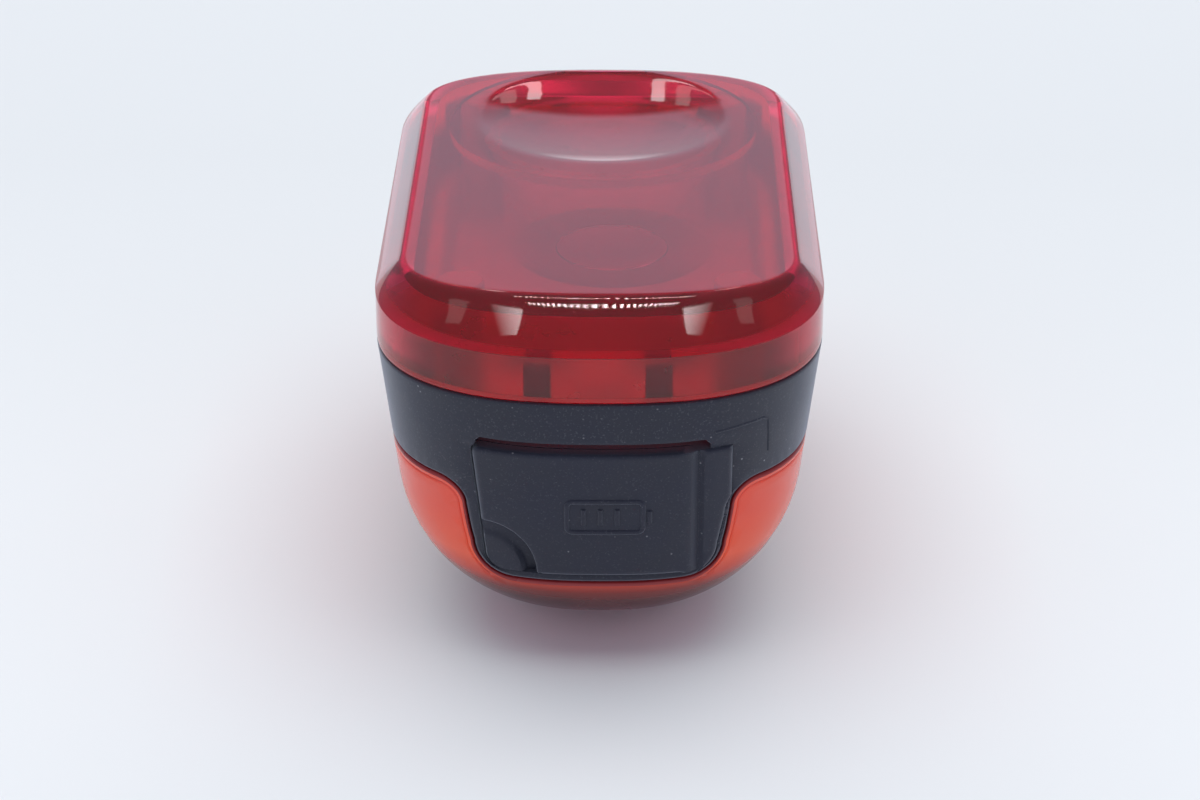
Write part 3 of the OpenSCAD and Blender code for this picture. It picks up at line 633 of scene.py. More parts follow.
# lens: upright skirt, convex bevel, flat top with a round dish, hollow inside
lens = {
    "baseEdge": ((0.22, 0), (0.09, 0.04), (0.02, 0.13), (0, 0.26)), "skirtZ": 24.6, "skirtEnds": (0.8, 0.15),
    "topZ": 26.7, "topHalf": 13.2, "topMid": 14.2, "topRound": 6.8, "edgeRound": 0.4, "edgeMore": 0.15,
    "bevelPower": 1.12, "bevelStop": 0.86, "bevelSteps": 15, "bevelGrow": 1.7,
    "dishY": 11.5, "dishR": 9.35, "dishDeep": 0.94, "dishSoft": 0.1, "dishInner": (0.6, 0.7, 14),
    "dishRim": (-0.45, -0.28, -0.16, -0.08, 0, 0.08, 0.16, 0.28, 0.45, 0.8), "padR": 11.35, "padZ": 24.2,
    "wall": 1.5, "bond": 0.03, "shoulderZ": 24.1, "shoulderRows": (0.34, 0.68, 0.98), "shoulderY": 3.0,
    "roofZ": 24.9, "roofHalf": 12.3, "roofRound": 7.2,
    "optic": (0.8, -11.6), "opticR": 3.75, "opticWide": 3.0, "opticDeep": 0.14,
    "opticRows": (-0.0075, 0.0075, 0.25, 0.5, 0.75, 0.9875, 1, 1.0125),
    "posts": (9.15, 17.0), "postR": 1.6, "postEdge": 0.15, "holeR": 0.85, "boardZ": 15.25, "holeZ": 21.2,
}
postPlaces = [(sx * lens["posts"][0], sy * lens["posts"][1]) for sx in (-1, 1) for sy in (-1, 1)]


def buildLens():
    u = lapU[:-1]
    n, baseZ, topZ = len(u), seatZ + lens["bond"], lens["topZ"]
    skirtX, skirtY = lapInset(u)
    topX, topY = lapPoint(u, lens["topHalf"], lens["topMid"], lens["topRound"])

    def ring(x, y, z):
        return np.stack([x, y, np.full(n, z)], 1)

    def bevelAt(t):
        g = t ** lens["bevelPower"]
        z = lens["skirtZ"] + (topZ - lens["skirtZ"]) * t
        return skirtX + (topX - skirtX) * g, skirtY + (topY - skirtY) * g, z

    rings = [ring(*lapInset(u, inset), baseZ + up) for inset, up in lens["baseEdge"]]
    low, high = lens["skirtEnds"]
    rings += [ring(skirtX, skirtY, z) for z in np.linspace(seatZ + low, lens["skirtZ"] - high, 6)]
    for t in lens["bevelStop"] * np.linspace(0, 1, lens["bevelSteps"]) ** lens["bevelGrow"]:
        rings.append(ring(*bevelAt(t)))
    # rounded edge between the bevel and the top
    ax, ay, az = bevelAt(lens["bevelStop"])
    inward = unit(np.stack([topX - skirtX, topY - skirtY], 1))
    step = np.minimum(lens["edgeRound"], np.hypot(topX - ax, topY - ay) + lens["edgeMore"])
    bx, by = topX + inward[:, 0] * step, topY + inward[:, 1] * step
    for t in np.linspace(0, 1, 11)[1:]:
        wa, wc, wb = (1 - t) ** 2, 2 * t * (1 - t), t * t
        rings.append(ring(wa * ax + wc * topX + wb * bx, wa * ay + wc * topY + wb * by, wa * az + (wc + wb) * topZ))
    m = Mesher()
    m.loft(rings, closeEnds=False)
    # flat top running down into the dish
    centre = np.array([0, lens["dishY"]])
    ballR = (lens["dishR"] ** 2 + lens["dishDeep"] ** 2) / (2 * lens["dishDeep"])
    first, gap, count = lens["dishInner"]
    radii = list(np.linspace(first, lens["dishR"] - gap, count)) + [lens["dishR"] + d for d in lens["dishRim"]]
    polar = [circlePoints(*centre, r, max(12, int(2 * np.pi * r / 0.45))) for r in radii]
    region, p, edge = filled([np.stack([bx, by], 1)], 1.3, (0.25, 0.7), polar)
    r = np.minimum(np.hypot(*(p - centre).T), ballR * 0.98)
    drop = ballR - lens["dishDeep"] - np.sqrt(np.maximum(ballR ** 2 - r ** 2, 0))
    k = lens["dishSoft"]
    soft = np.where(np.abs(drop) < k, -(k - np.abs(drop)) ** 2 / (4 * k), 0)
    z = np.minimum(0, drop) + soft * smoothStep(edge, 0, k)
    m.add(np.column_stack([p, topZ + z]), region[1])

    # hollow inside: wall, sloped shoulder, roof with the pad under the dish, stepped optic and screw posts
    def shoulderAt(t):
        # the lap's measures from the wall, at 0, to the flat roof
        wall = (body["half"] - lens["wall"], body["mid"], body["end"] - lens["wall"])
        return [a * (1 - t) + b * t for a, b in zip(wall, (lens["roofHalf"], lens["topMid"], lens["roofRound"]))]

    circles = []
    for t in lens["shoulderRows"]:
        row = closed(np.stack(lapPoint(u, *shoulderAt(t)), 1))
        circles.append(row[::2] if t < 0.9 else row)

    def circle(x, y, r, step):
        circles.append(closed(circlePoints(x, y, r, max(16, int(2 * np.pi * r / step)))))

    for r in (lens["padR"], lens["padR"] - 0.06):
        circle(*centre, r, 0.5)
    for share in lens["opticRows"]:
        circle(*lens["optic"], lens["opticR"] + share * lens["opticWide"], 0.3)
    inner = fillRegion([np.stack(lapInset(u, lens["wall"]), 1)], 1.3, lines=circles)
    p, tris, marks, loops = inner
    share = bisect(lambda t: inLap(*p.T, *shoulderAt(t)), np.zeros(len(p)), np.ones(len(p)), 24)[0]
    z = lens["shoulderZ"] + (lens["roofZ"] - lens["shoulderZ"]) * np.clip(share / 0.999, 0, 1)
    along = (np.hypot(*(p - lens["optic"]).T) - lens["opticR"]) / lens["opticWide"]
    z = z - np.where((along >= 0) & (along < 1), lens["opticDeep"] * (1 - along), 0)
    inPad = np.hypot(*(p - centre).T) < lens["padR"] - 0.03
    z = np.where(inPad, np.minimum(z, lens["padZ"]), z)
    onShoulder = share[tris].mean(1) < 0.97
    onShoulder &= np.abs(p[tris].mean(1)[:, 1]) > body["mid"] + lens["shoulderY"]
    under = np.column_stack([p, z])
    for m.tint, faces in ((1, tris[~onShoulder]), (3, tris[onShoulder])):
        m.add(under, faces[:, ::-1])
    edgeZ = z[marks[0]]
    m.loft([np.column_stack([loops[0], baseZ + (edgeZ - baseZ) * t]) for t in (0, 0.5, 1)], closeEnds=False)
    # the base, from the chamfer to the hollow, in opaque red as painted light in place of the dark collar seen through
    # it
    m.tint = 2
    m.loft([rings[0], ring(*lapInset(u, lens["wall"]), baseZ)], closeEnds=False)
    # screw posts, standing off the roof and the pad by the bond
    # painted light: the posts are opaque red, made light enough to pass for the lit inside seen through the roof
    m.tint = 4
    for x, y in postPlaces:
        onPad = math.hypot(x, y - lens["dishY"]) < lens["padR"] + lens["postR"]
        upper = (lens["padZ"] if onPad else lens["roofZ"]) - lens["bond"]
        profile = [(1e-5, upper), (lens["postR"] - lens["postEdge"], upper), (lens["postR"], upper - lens["postEdge"]),
                   (lens["postR"], lens["boardZ"]), (lens["holeR"], lens["boardZ"]), (lens["holeR"], lens["holeZ"]),
                   (1e-5, lens["holeZ"])]
        m.loft([level(circlePoints(x, y, r, 32), z) for r, z in profile], closeEnds=False)
    return m.piece("lensCover", (lensRed, lensFrost, paintedLightLensBase, lensWall, lensPost), 7, ("lens_cover",))


lensObj = buildLens()
print("lens built:", len(lensObj.data.polygons), "faces")

# charging port end: tongue of the collar, flap with its notch, hinge strip, slot above the flap
port = {
    "tongueHalf": 8.65, "tongueTaper": 0.45, "tongueZ": 7.35, "tongueCorner": 2.5, "tongueFillet": 2.0,
    "hingeX": 6.5, "flapW": 14.7, "flapSlant": 0.75, "flapLow": 7.95, "flapHigh": 17.45, "flapCorner": 1.3,
    "flapTurn": 0.5, "flapProud": 0.15, "flapT": 1.05, "gap": 0.15, "gapLow": 0.05, "hingeGap": 0.1, "anchorW": 2.15,
    "anchorEdge": 0.35, "windowW": 10.8, "windowH": 6.4, "windowCorner": 2.4, "windowZ": 12.7,
    "slotX": (-8.0, 7.3), "slotCut": (0.3, 0.35), "slotHigh": 18.2, "plugGap": 0.5, "plugDeep": 0.7,
    "notchR": 3.4, "notchTall": 1.12, "notchDeep": (0.75, 0.33), "discR": 2.5, "discDeep": 0.16, "valley": 0.3,
    "sign": (0.45, 12.7), "signHalf": (2.5, 1.2), "signCorner": 0.4, "signCap": 0.45, "signBar": 0.6,
    "signBars": (-1.4, -0.3, 0.8), "signBead": (0.17, 0.75, 10, 0.2), "flapEdge": 0.3, "hingeFade": (1.4, 0.6, 0.55),
    "notchEdge": 0.18, "notchTurn": (5, 85), "webOver": 0.2, "webEnds": (0.03, 0.06), "webDeep": 0.165,
    "webSag": 0.6, "webT": 0.25,
}


def tonguePath(grow=0.0):
    # lower outline of the collar's tongue from left to right, in X and Z
    top = port["tongueHalf"] + grow
    low = top - port["tongueTaper"]
    corner, fillet = port["tongueCorner"] + grow, port["tongueFillet"] - grow
    right = np.concatenate([
        arcPoints(low - corner, port["tongueZ"] - grow + corner, corner, -90, 0),
        arcPoints(top + fillet, seamZ - fillet, fillet, 180, 90),
    ])
    return np.concatenate([right[::-1] * np.array([-1, 1]), right])


def flapLoop(grow=0.0, step=0.35, growLow=0.0):
    x0, x1 = port["hingeX"] - port["flapW"] - grow, port["hingeX"]
    z0, z1 = port["flapLow"] - growLow, port["flapHigh"] + grow
    c, turn = port["flapCorner"], port["flapTurn"]
    return splitLong(np.concatenate([
        arcPoints(x0 + port["flapSlant"] + c, z0 + c, c, 180, 270), [[x1, z0], [x1, z1]],
        arcPoints(x0 + turn, z1 - turn, turn, 90, 180, 5),
    ]), step)


def anchorLoop(grow=0.0, x0=port["hingeX"] + port["hingeGap"]):
    x1 = port["hingeX"] + port["hingeGap"] + port["anchorW"] + grow
    z = np.linspace(port["flapLow"] - grow, port["flapHigh"] + grow, 40)
    path = tonguePath(grow - port["anchorEdge"])
    half = path[path[:, 0] > 0]
    half = half[np.argsort(half[:, 1])]
    edge = np.where(z < seamZ - 0.3, np.interp(z, half[:, 1], half[:, 0]), x1)
    right = np.column_stack([np.minimum(x1, edge), z])
    right = right[right[:, 0] > x0 + 0.05]
    return splitLong(np.concatenate([[[x0, right[0, 1]]], right, [[x0, right[-1, 1]]]]), 0.3)


def windowLoop(shrink=0.0, step=0.35):
    c = port["windowCorner"]
    x, z = port["windowW"] / 2 - c, port["windowH"] / 2 - c
    return splitLong(roundedBox(0, port["windowZ"], x, z, c - shrink), step)


def slotLoop(w, h, z, step=0.35):
    x, r = (w - h) / 2, h / 2
    return splitLong(np.concatenate([arcPoints(x, z, r, -90, 90, 14), arcPoints(-x, z, r, 90, 270, 14)]), step)


def unrolled(loop, far=False):
    return np.column_stack([sOfX(*loop.T, far), loop[:, 1]])


def lapSheet(bottom, up, top):
    # outline of a sheet that goes once round; its two ends meet in a seam on the left side
    right, left = np.full(len(up), lapLength), np.zeros(len(up))
    return np.concatenate([bottom, np.column_stack([right, up]), top, np.column_stack([left, up[::-1]])])


def seamHeights(low, high, rowsLow, rowsHigh):
    # heights along the seam, close together where an edge is rounded
    even = np.linspace(low, high, 14)[2:-2]
    return np.unique(np.concatenate([even, low + np.array(rowsLow), high - np.array(rowsHigh)]))


def cutAtSeam(a, b):
    return max(a[0], b[0]) < 1e-4 or min(a[0], b[0]) > lapLength - 1e-4


def offSeam(middle):
    return tiny < middle[0] < lapLength - tiny


button = {
    "w": 10.6, "h": 4.4, "z": 17.875, "proud": 0.55, "deep": 1.7, "edge": 0.6, "clear": 0.15,
    "flange": 0.6, "flangeOver": 0.7, "flangeLap": 0.05, "dip": 0.16, "dipR": 2.1, "dipFlat": 0.45,
    "dipFade": (0.2, 1.6), "stemY": 23.6, "stemZ": 16.25, "stemGap": 0.05, "stemTip": ((0, 0.85), (0.15, 1.0)),
    "stem": ((-1.3, -0.6), (-1.1, -0.8), (1.1, -0.8), (1.3, -0.6), (1.3, 0.6), (1.1, 0.8), (-1.1, 0.8), (-1.3, 0.6)),
}
collar = {
    "wall": 1.6, "topRound": 0.22, "lowRound": 0.3, "slotRound": 0.16, "pressRound": 0.2, "pocketRound": 0.1,
    "rows": (0.07, 0.16, 0.3), "tabT": 0.9, "tabW": 1.7, "tabs": (3.85, 11.2), "tabUp": 2.0, "tabRoot": 0.42,
    "tabEdge": 0.2, "tabSunk": 0.3, "fit": 0.02, "floorGap": 0.05, "bead": (8, 0.25, 0.015),
    "parting": ((-0.1, 19.3), (-0.1, 20.95)),
    "stripRoot": ((7.6, 18.75), (9.6, 18.95), (10.75, 19.0), (11.05, 18.75), (11.1, 17.2), (11.1, 16.2)),
}


def buildCollar():
    rows = collar["rows"]
    bottom = np.concatenate([[[0.0, seamZ]], unrolled(tonguePath()), [[lapLength, seamZ]]])
    top = np.column_stack([lapS[::-1], np.full(len(lapS), seatZ)])
    outer = lapSheet(splitLong(bottom, 0.55, closed=False), seamHeights(seamZ, seatZ, rows, rows), top)
    (x0, x1), (c0, c1) = port["slotX"], port["slotCut"]
    low, high = port["flapHigh"] + collar["fit"], port["slotHigh"]
    slot = [(x0, low), (x1, low), (x1, high - c1), (x1 - c1, high), (x0 + c0, high), (x0, high - c0)]
    slot = unrolled(splitLong(slot, 0.4))
    room = 2 * button["clear"]
    press = unrolled(slotLoop(button["w"] + room, button["h"] + room, button["z"]), True)
    pockets = flapLoop(port["gap"], 0.3, port["gapLow"]), anchorLoop(collar["fit"], port["hingeX"] - 0.3)
    lines = [unrolled(closed(offset(loop, shift))) for loop in pockets for shift in (0.0, 0.05)]
    region = fillRegion([outer, slot, unrolled(windowLoop()), press], 1.0, rows, lines=lines)
    p = region[0]
    r = np.where(p[:, 1] > seatZ - 1.5, collar["topRound"], collar["lowRound"])
    depth = roundOff(edgeDistance(p, outer, keep=offSeam), r)
    for loop, r in ((slot, collar["slotRound"]), (press, collar["pressRound"])):
        depth = np.maximum(depth, roundOff(edgeDistance(p, loop), r))
    inPocket = np.max([signedDistance(p, unrolled(loop)) for loop in pockets], 0)
    flush = onWall(*p.T, 0.0)
    toFlap = (flush[:, 1] - onNearEnd(flush[:, 0], p[:, 1], 0.0)[:, 1]) * cosDraft
    sunk = port["flapT"] - port["flapProud"] + collar["floorGap"] - toFlap
    r = collar["pocketRound"]
    edge = np.maximum(depth, np.where(inPocket > -r, roundOff(-inPocket, r), 0))
    depth = np.where(inPocket > 0.03, sunk, edge)
    m = Mesher()
    m.plate(region, onWall, depth, collar["wall"], cutAtSeam)
    # tabs that stand up behind the lens skirt at both ends
    front, back, cut = collar["wall"], collar["wall"] + collar["tabT"], collar["tabEdge"]
    rootZ, seat, tipZ = seatZ - collar["tabRoot"], seatZ - collar["fit"], seatZ + collar["tabUp"]
    foot = front - collar["tabSunk"]
    profile = ((foot, rootZ), (foot, seat), (front, seat), (front, tipZ - cut), (front + cut, tipZ),
               (back - cut, tipZ), (back, tipZ - cut), (back, rootZ))
    for sign in (-1, 1):
        for tx in (side * x for side in (-1, 1) for x in collar["tabs"]):
            x = np.linspace(tx - collar["tabW"] / 2, tx + collar["tabW"] / 2, 7)
            rails = [level(np.column_stack([x, sign * endAt(inset, x)]), z) for inset, z in profile]
            m.loft(list(np.stack(rails, 1)))
    # parting line and the faint outline of the hinge strip's root
    m.bead(collar["parting"], 0.09, 0.3, *collar["bead"])
    m.bead(collar["stripRoot"], 0.11, 0.45, *collar["bead"])
    return m.piece("sealCollar", collarRubber, 40, ("seal_collar",))


collarObj = buildCollar()
print("collar built:", len(collarObj.data.polygons), "faces")


def buildFlap():
    notch = np.array([port["hingeX"] - port["flapW"] + port["flapSlant"], port["flapLow"]])
    tall = np.array([1.0, port["notchTall"]])
    plug = windowLoop(port["plugGap"], 0.3)
    lines = [closed(plug), closed(windowLoop(port["plugGap"] + 0.06, 0.3))]
    for r, rows, steps in ((port["notchR"], (0.2, 0.1, 0.04, 0, -0.05), 43),
                           (port["discR"], (0.3, 0.2, 0.1, 0, -0.12, -0.25), 35)):
        lines += [notch + arcPoints(0, 0, r + d, -5, 100, steps) * tall for d in rows]
    region, p, dist = filled([flapLoop(0, 0.28)], 0.6, (0.06, 0.14, 0.24, 0.36, 0.5), lines=lines)
    hingeX, valley = port["hingeX"], port["valley"]
    far, near, fold = port["hingeFade"]
    hinge = smoothStep(p[:, 0], hingeX - far, hingeX - near)
    folded = hinge * valley * smoothStep(p[:, 0], hingeX - fold, hingeX)
    depth = np.maximum(roundOff(dist, port["flapEdge"]) * (1 - hinge), folded)
    # fingernail notch: a raised quarter disc with a groove round it that gets deeper towards the lower edge
    r = np.hypot(*((p - notch) / tall).T)
    turn = np.degrees(np.arctan2(p[:, 1] - notch[1], p[:, 0] - notch[0]))
    deep, shallow = port["notchDeep"]
    groove = deep - (deep - shallow) * smoothStep(turn, *port["notchTurn"])
    disc = port["discDeep"]
    floor = disc + (groove - disc) * smoothStep(r, port["discR"] - 0.2, port["discR"] + 0.3)
    inNotch, soft = port["notchR"] - r, port["notchEdge"]
    sunk = np.where(inNotch > 0.03, floor, roundOff(np.maximum(-inNotch, 0), soft) * (inNotch > -soft))
    depth = np.maximum(depth, sunk) - port["flapProud"]
    back = port["flapT"] - port["flapProud"]
    under = np.where(signedDistance(p, plug) > 0.03, back + port["plugDeep"], back)
    m = Mesher()
    m.plate(region, onNearEnd, depth, np.maximum(under, depth + 0.1))
    # plain battery outline in relief
    (cx, cz), (w, h), c = port["sign"], port["signHalf"], port["signCorner"]
    bars = [(cx + w + 0.42, port["signCap"])] + [(cx + x, port["signBar"]) for x in port["signBars"]]
    paths = [roundedBox(cx, cz, w - c, h - c, c, 4)] + [[(x, cz - z), (x, cz + z)] for x, z in bars]
    for k, path in enumerate(paths):
        m.bead(path, *port["signBead"], -port["flapProud"], closed=k == 0)
    return m.piece("portFlap", flapRubber, 40, ("port_flap",), "flap")


def buildAnchor():
    region, p, dist = filled([anchorLoop()], 0.5, (0.05, 0.12, 0.22, 0.34))
    fromHinge = p[:, 0] - port["hingeX"] - port["hingeGap"]
    edge = roundOff(dist, 0.22) * smoothStep(fromHinge, 0.1, 0.4)
    depth = np.maximum(edge, port["valley"] * smoothStep(-fromHinge, -0.5, 0)) - port["flapProud"]
    m = Mesher()
    m.plate(region, onNearEnd, depth, port["flapT"] - port["flapProud"])
    return m.piece("hingeStrip", flapRubber, 40, ("flap_anchor",))


def buildButton():
    m = Mesher()
    w, h, z, deep = button["w"], button["h"], button["z"], button["deep"]
    region, p, dist = filled([slotLoop(w, h, z, 0.3)], 0.6, (0.08, 0.18, 0.3, 0.45, 0.6))
    r = np.hypot(p[:, 0] * button["dipFlat"], p[:, 1] - z)
    dip = button["dip"] * smoothStep(button["dipR"] - r, *button["dipFade"])
    m.plate(region, onFarEnd, roundOff(dist, button["edge"]) + dip - button["proud"], deep)
    grow, deep = 2 * button["flangeOver"], deep - button["flangeLap"]
    region = fillRegion([slotLoop(w + grow, h + grow, z, 0.4)], 0.9, (0.15,))
    m.plate(region, onFarEnd, deep, deep + button["flange"])
    # stem that reaches the switch
    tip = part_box("switch_plunger")[1].y / mm + button["stemGap"]
    ends = [(tip + y, s) for y, s in button["stemTip"]] + [(button["stemY"], 1.0)]
    m.loft([np.array([(x * s, y, button["stemZ"] + z * s) for x, z in button["stem"]]) for y, s in ends])
    return m.piece("powerButton", buttonRubber, 40, ("power_button",), "button")


def buildHingeWeb():
    # thin rubber web in the valley between flap and strip
    (low, high), over = port["webEnds"], port["webOver"]
    x0, x1 = port["hingeX"] - over, port["hingeX"] + port["hingeGap"] + over
    z0, z1 = port["flapLow"] + low, port["flapHigh"] - high
    region = fillRegion([splitLong([(x0, z0), (x1, z0), (x1, z1), (x0, z1)], 0.08)], 0.3)
    mid = port["hingeX"] + port["hingeGap"] / 2
    depth = port["webDeep"] + port["webSag"] * (region[0][:, 0] - mid) ** 2
    m = Mesher()
    m.plate(region, onNearEnd, depth, depth + port["webT"])
    web = m.piece("hingeWeb", flapRubber, 50, rides=None)
    y = float(onNearEnd([mid], [port["windowZ"]], 0.2)[0, 1])
    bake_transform(web)


for build in (buildFlap, buildAnchor, buildButton, buildHingeWeb):
    build()
print("flap, hinge strip and button built")

# rear shell: wall cut away round the tongue, round belly, inner rim, screw wells
shell = {
    "wall": 1.5, "joinZ": 6.4, "edge": 0.38, "lip": 0.3, "grooveAt": 0.62, "groove": 0.1, "grooveWide": 0.09,
    "fit": 0.04, "rows": (0.08, 0.18, 0.45, 0.54, 0.62, 0.7, 0.8), "rimOut": 1.65, "rimIn": 2.75, "rimZ": 17.85,
    "rimEdge": 0.3, "ledge": 1.4, "gateHalf": 6.9, "gateUp": 0.3, "portIn": (1.0, 0.4), "wellR": 2.2, "boreR": 0.95,
    "sinkR": 1.75, "sinkZ": 10.1, "boardZ": 13.95, "footZ": 1.0,
}


def bellyAt(x, y, depth):
    # height of the belly's form under a point
    def outside(z):
        side, end = insetAt(z, depth), insetAt(z, depth, "bellyEnd")
        return ~inLap(x, y, body["half"] - side, body["mid"], body["end"] - end)
    return bisect(outside, np.full(len(x), body["bellyZ"] + depth), np.full(len(x), seamZ), 30)[1]


def buildShell():
    m = Mesher()
    joinZ, rows = shell["joinZ"], shell["rows"]
    bottom = np.column_stack([lapS, np.full(len(lapS), joinZ)])
    tongue = unrolled(tonguePath(shell["fit"])[::-1])
    top = splitLong(np.concatenate([[[lapLength, seamZ]], tongue, [[0.0, seamZ]]]), 0.6, closed=False)
    outer = lapSheet(bottom, seamHeights(joinZ, seamZ, (0.4,), (*rows, shell["lip"])), top)
    line = top + shell["lip"] * leftOf(unit(np.gradient(top, axis=0)))
    line[0, 0] -= 0.05
    line[-1, 0] += 0.05
    region = fillRegion([outer], 1.1, rows, lines=[line])
    p = region[0]
    dist = edgeDistance(p, outer, keep=lambda middle: offSeam(middle) and middle[1] > joinZ + tiny)
    groove = shell["groove"] * np.exp(-((dist - shell["grooveAt"]) / shell["grooveWide"]) ** 2)
    isOpen = lambda a, b: cutAtSeam(a, b) or max(a[1], b[1]) < joinZ + 1e-4
    m.plate(region, onWall, roundOff(dist, shell["edge"]) + groove, shell["wall"], isOpen)
    # painted shade: the lip along the collar gets a darker red, standing in for the shadow where the shell meets the
    # collar
    inLipShade = dist[region[1]].mean(1) < shell["lip"]
    m.tints = [int(v) for v in inLipShade] + [0] * len(inLipShade) + [1] * (len(m.tints) - 2 * len(inLipShade))
    # belly, outside and inside, from the join down to its flat middle
    for deep in (0.0, shell["wall"]):
        r, midZ = body["bellySide"] - deep, body["bellyZ"] + body["bellySide"]
        angles = np.linspace(math.asin((midZ - joinZ) / r), math.pi / 2, 18)
        rings = [onWall(lapS[:-1], np.full(len(lapS) - 1, midZ - r * math.sin(a)), deep) for a in angles]
        m.loft(rings, closeEnds=False)
        flat = fillRegion([rings[-1][:, :2]], 1.6, (0.6,))
        m.add(level(flat[0], rings[-1][0, 2]), flat[1])
    obj = m.piece("rearShell", (shellRed, paintedShadeShellLip), 40, ("rear_shell",))

    # screw wells, joined on and bored with an exact boolean
    def rods(r, z0, z1):
        # one rod at each post, with its foot at a height or on the belly
        made = Mesher()
        for x, y in postPlaces:
            ring = circlePoints(x, y, r, 40)
            foot = bellyAt(*ring.T, shell["wall"] / 2) if z0 is None else np.full(40, z0)
            made.loft([np.column_stack([ring, foot]), level(ring, z1)])
        return linked("rods", made.mesh("rods"))

    footZ, boardZ = shell["footZ"], shell["boardZ"]
    tools = [("UNION", rods(shell["wellR"], None, boardZ)),
             ("DIFFERENCE", rods(shell["sinkR"], footZ, shell["sinkZ"])),
             ("DIFFERENCE", rods(shell["boreR"], footZ, boardZ + 1))]
    for kind, tool in tools:
        cut = obj.modifiers.new(kind, "BOOLEAN")
        cut.operation, cut.object, cut.solver = kind, tool, "EXACT"
    obj.modifiers.remove(obj.modifiers["evenNormals"])
    done = bpy.data.meshes.new_from_object(obj.evaluated_get(bpy.context.evaluated_depsgraph_get()))
    obj.modifiers.clear()
    obj.data = done
    evenOut(obj, 40, 50)
    for _, tool in tools:
        bpy.data.objects.remove(tool)
    return obj


def buildRim():
    # the rim inside the collar; it shows as a red line above the flap
    inX, inZ = shell["portIn"]
    x, z, lowZ, highZ = port["tongueHalf"] - inX, port["tongueZ"] - inZ, seamZ - shell["ledge"], shell["rimZ"]
    portPath = unrolled(splitLong([(-x, lowZ), (-x, z), (x, z), (x, lowZ)], 0.5, False))
    x, z = shell["gateHalf"], seamZ + shell["gateUp"]
    gate = unrolled(splitLong([(-x, highZ), (-x, z), (x, z), (x, highZ)], 0.5, False), True)
    bottom = splitLong(np.concatenate([[[0.0, lowZ]], portPath, [[lapLength, lowZ]]]), 0.7, closed=False)
    top = splitLong(np.concatenate([[[lapLength, highZ]], gate, [[0.0, highZ]]]), 0.7, closed=False)
    outer = lapSheet(bottom, np.linspace(lowZ, highZ, 6)[1:-1], top)
    region = fillRegion([outer, unrolled(windowLoop())], 1.2, (0.12, 0.3))
    depth = shell["rimOut"] + roundOff(edgeDistance(region[0], outer, keep=offSeam), shell["rimEdge"])
    m = Mesher()
    m.plate(region, onWall, depth, shell["rimIn"], cutAtSeam)
    m.piece("shellRim", shellRed, 40)


shellObj = buildShell()
buildRim()
print("shell built:", len(shellObj.data.polygons), "faces")

# small parts keep the CAD node, with broken edges and their own finish
nodeFinish = {
    "mounting_rail": (railBlack, 0.25), "rail_screws": (screwSteel, 0.12), "case_screws": (screwSteel, 0.1),
    "switch_body": (switchBlack, 0.12), "switch_plunger": (plungerCream, 0.12), "circuit_board": (boardWhite, 0.08),
    "main_led": (diodeWhite, 0.12), "led_dome": (diodeClear, 0), "second_led": (diodeWhite, 0.15),
    "reflector_cup": (cupSilver, 0.08), "usb_shell": (portSteel, 0.08), "usb_tongue": (switchBlack, 0.08),
    "battery_board": (tapeAmber, 0.3), "driver_chip": (chipBlack, 0.1), "charge_chip": (chipBlack, 0.1),
    "inductor": (ferriteGrey, 0.15), "chip_parts": (chipTan, 0.06), "charge_led": (diodeWhite, 0.08),
}
for name, (finish, edge) in nodeFinish.items():
    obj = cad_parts[name]
    obj.data.materials.clear()
    obj.data.materials.append(finish)
    weld = obj.modifiers.new("weld", "WELD")
    weld.merge_threshold = 1e-7
    if edge:
        soft = obj.modifiers.new("brokenEdges", "BEVEL")
        soft.width = edge * mm
        soft.segments = 3
        soft.limit_method = "ANGLE"
        soft.angle_limit = math.radians(35)
        soft.use_clamp_overlap = True
    obj.modifiers.new("evenNormals", "WEIGHTED_NORMAL")
print("CAD parts dressed:", len(nodeFinish))

# battery pouch pinched at both ends, the foam pad under it and its two leads
battery = {
    "w": 19.6, "t": 6.0, "z": 7.2, "near": -11.3, "far": 14.3, "board": -14.3, "rings": 29, "sides": 72, "square": 0.3,
    "pinch": 0.55, "pinchLong": 2.2, "pinchPower": 2.2, "narrow": 0.02, "thin": 0.06,
    "padZ": 6.4, "padIn": 2.0, "padCorner": 0.8, "padEdge": 0.25, "fit": 0.02,
    "leadX": 5.15, "leadR": 0.49, "leadBend": 1.7, "leadStub": 0.4, "boardZ": 14.0,
}


def buildBattery():
    m = Mesher()
    half, t, count = battery["w"] / 2, battery["t"] / 2, battery["sides"]
    span = battery["far"] - battery["near"]
    a = np.linspace(0, 2 * np.pi, count, endpoint=False)
    rings = []
    for f in np.arange(battery["rings"]) / (battery["rings"] - 1):
        # pinched towards both ends, flat in between
        fromEnd = min(1, min(f, 1 - f) * span / battery["pinchLong"])
        pinch = 1 - battery["pinch"] * (1 - fromEnd) ** battery["pinchPower"]
        x = half * signedPow(np.cos(a), battery["square"]) * (1 - battery["narrow"] * (1 - pinch))
        z = t * pinch * signedPow(np.sin(a), battery["square"]) * (1 - battery["thin"] * (np.abs(x) / half) ** 4)
        rings.append(np.column_stack([x, np.full(count, battery["near"] + span * f), battery["z"] + t + z]))
    m.loft(rings)
    m.piece("batteryPouch", cellFoil, 50, ("battery_cell",))


def buildPad():
    m = Mesher()
    inset, c = battery["padIn"], battery["padCorner"]
    y0, y1 = battery["board"] + inset, battery["far"] - inset
    loop = roundedBox(0, (y0 + y1) / 2, battery["w"] / 2 - inset - c, (y1 - y0) / 2 - c, c, 6)
    region, _, dist = filled([splitLong(loop, 0.8)], 1.2, (0.1, 0.25))
    crown = battery["fit"] + roundOff(dist, battery["padEdge"])
    m.plate(region, lambda *place: np.column_stack(place), battery["z"] - crown, battery["padZ"] + crown)
    pad = m.piece("batteryPad", foamGrey, 60, ("battery_pad",))


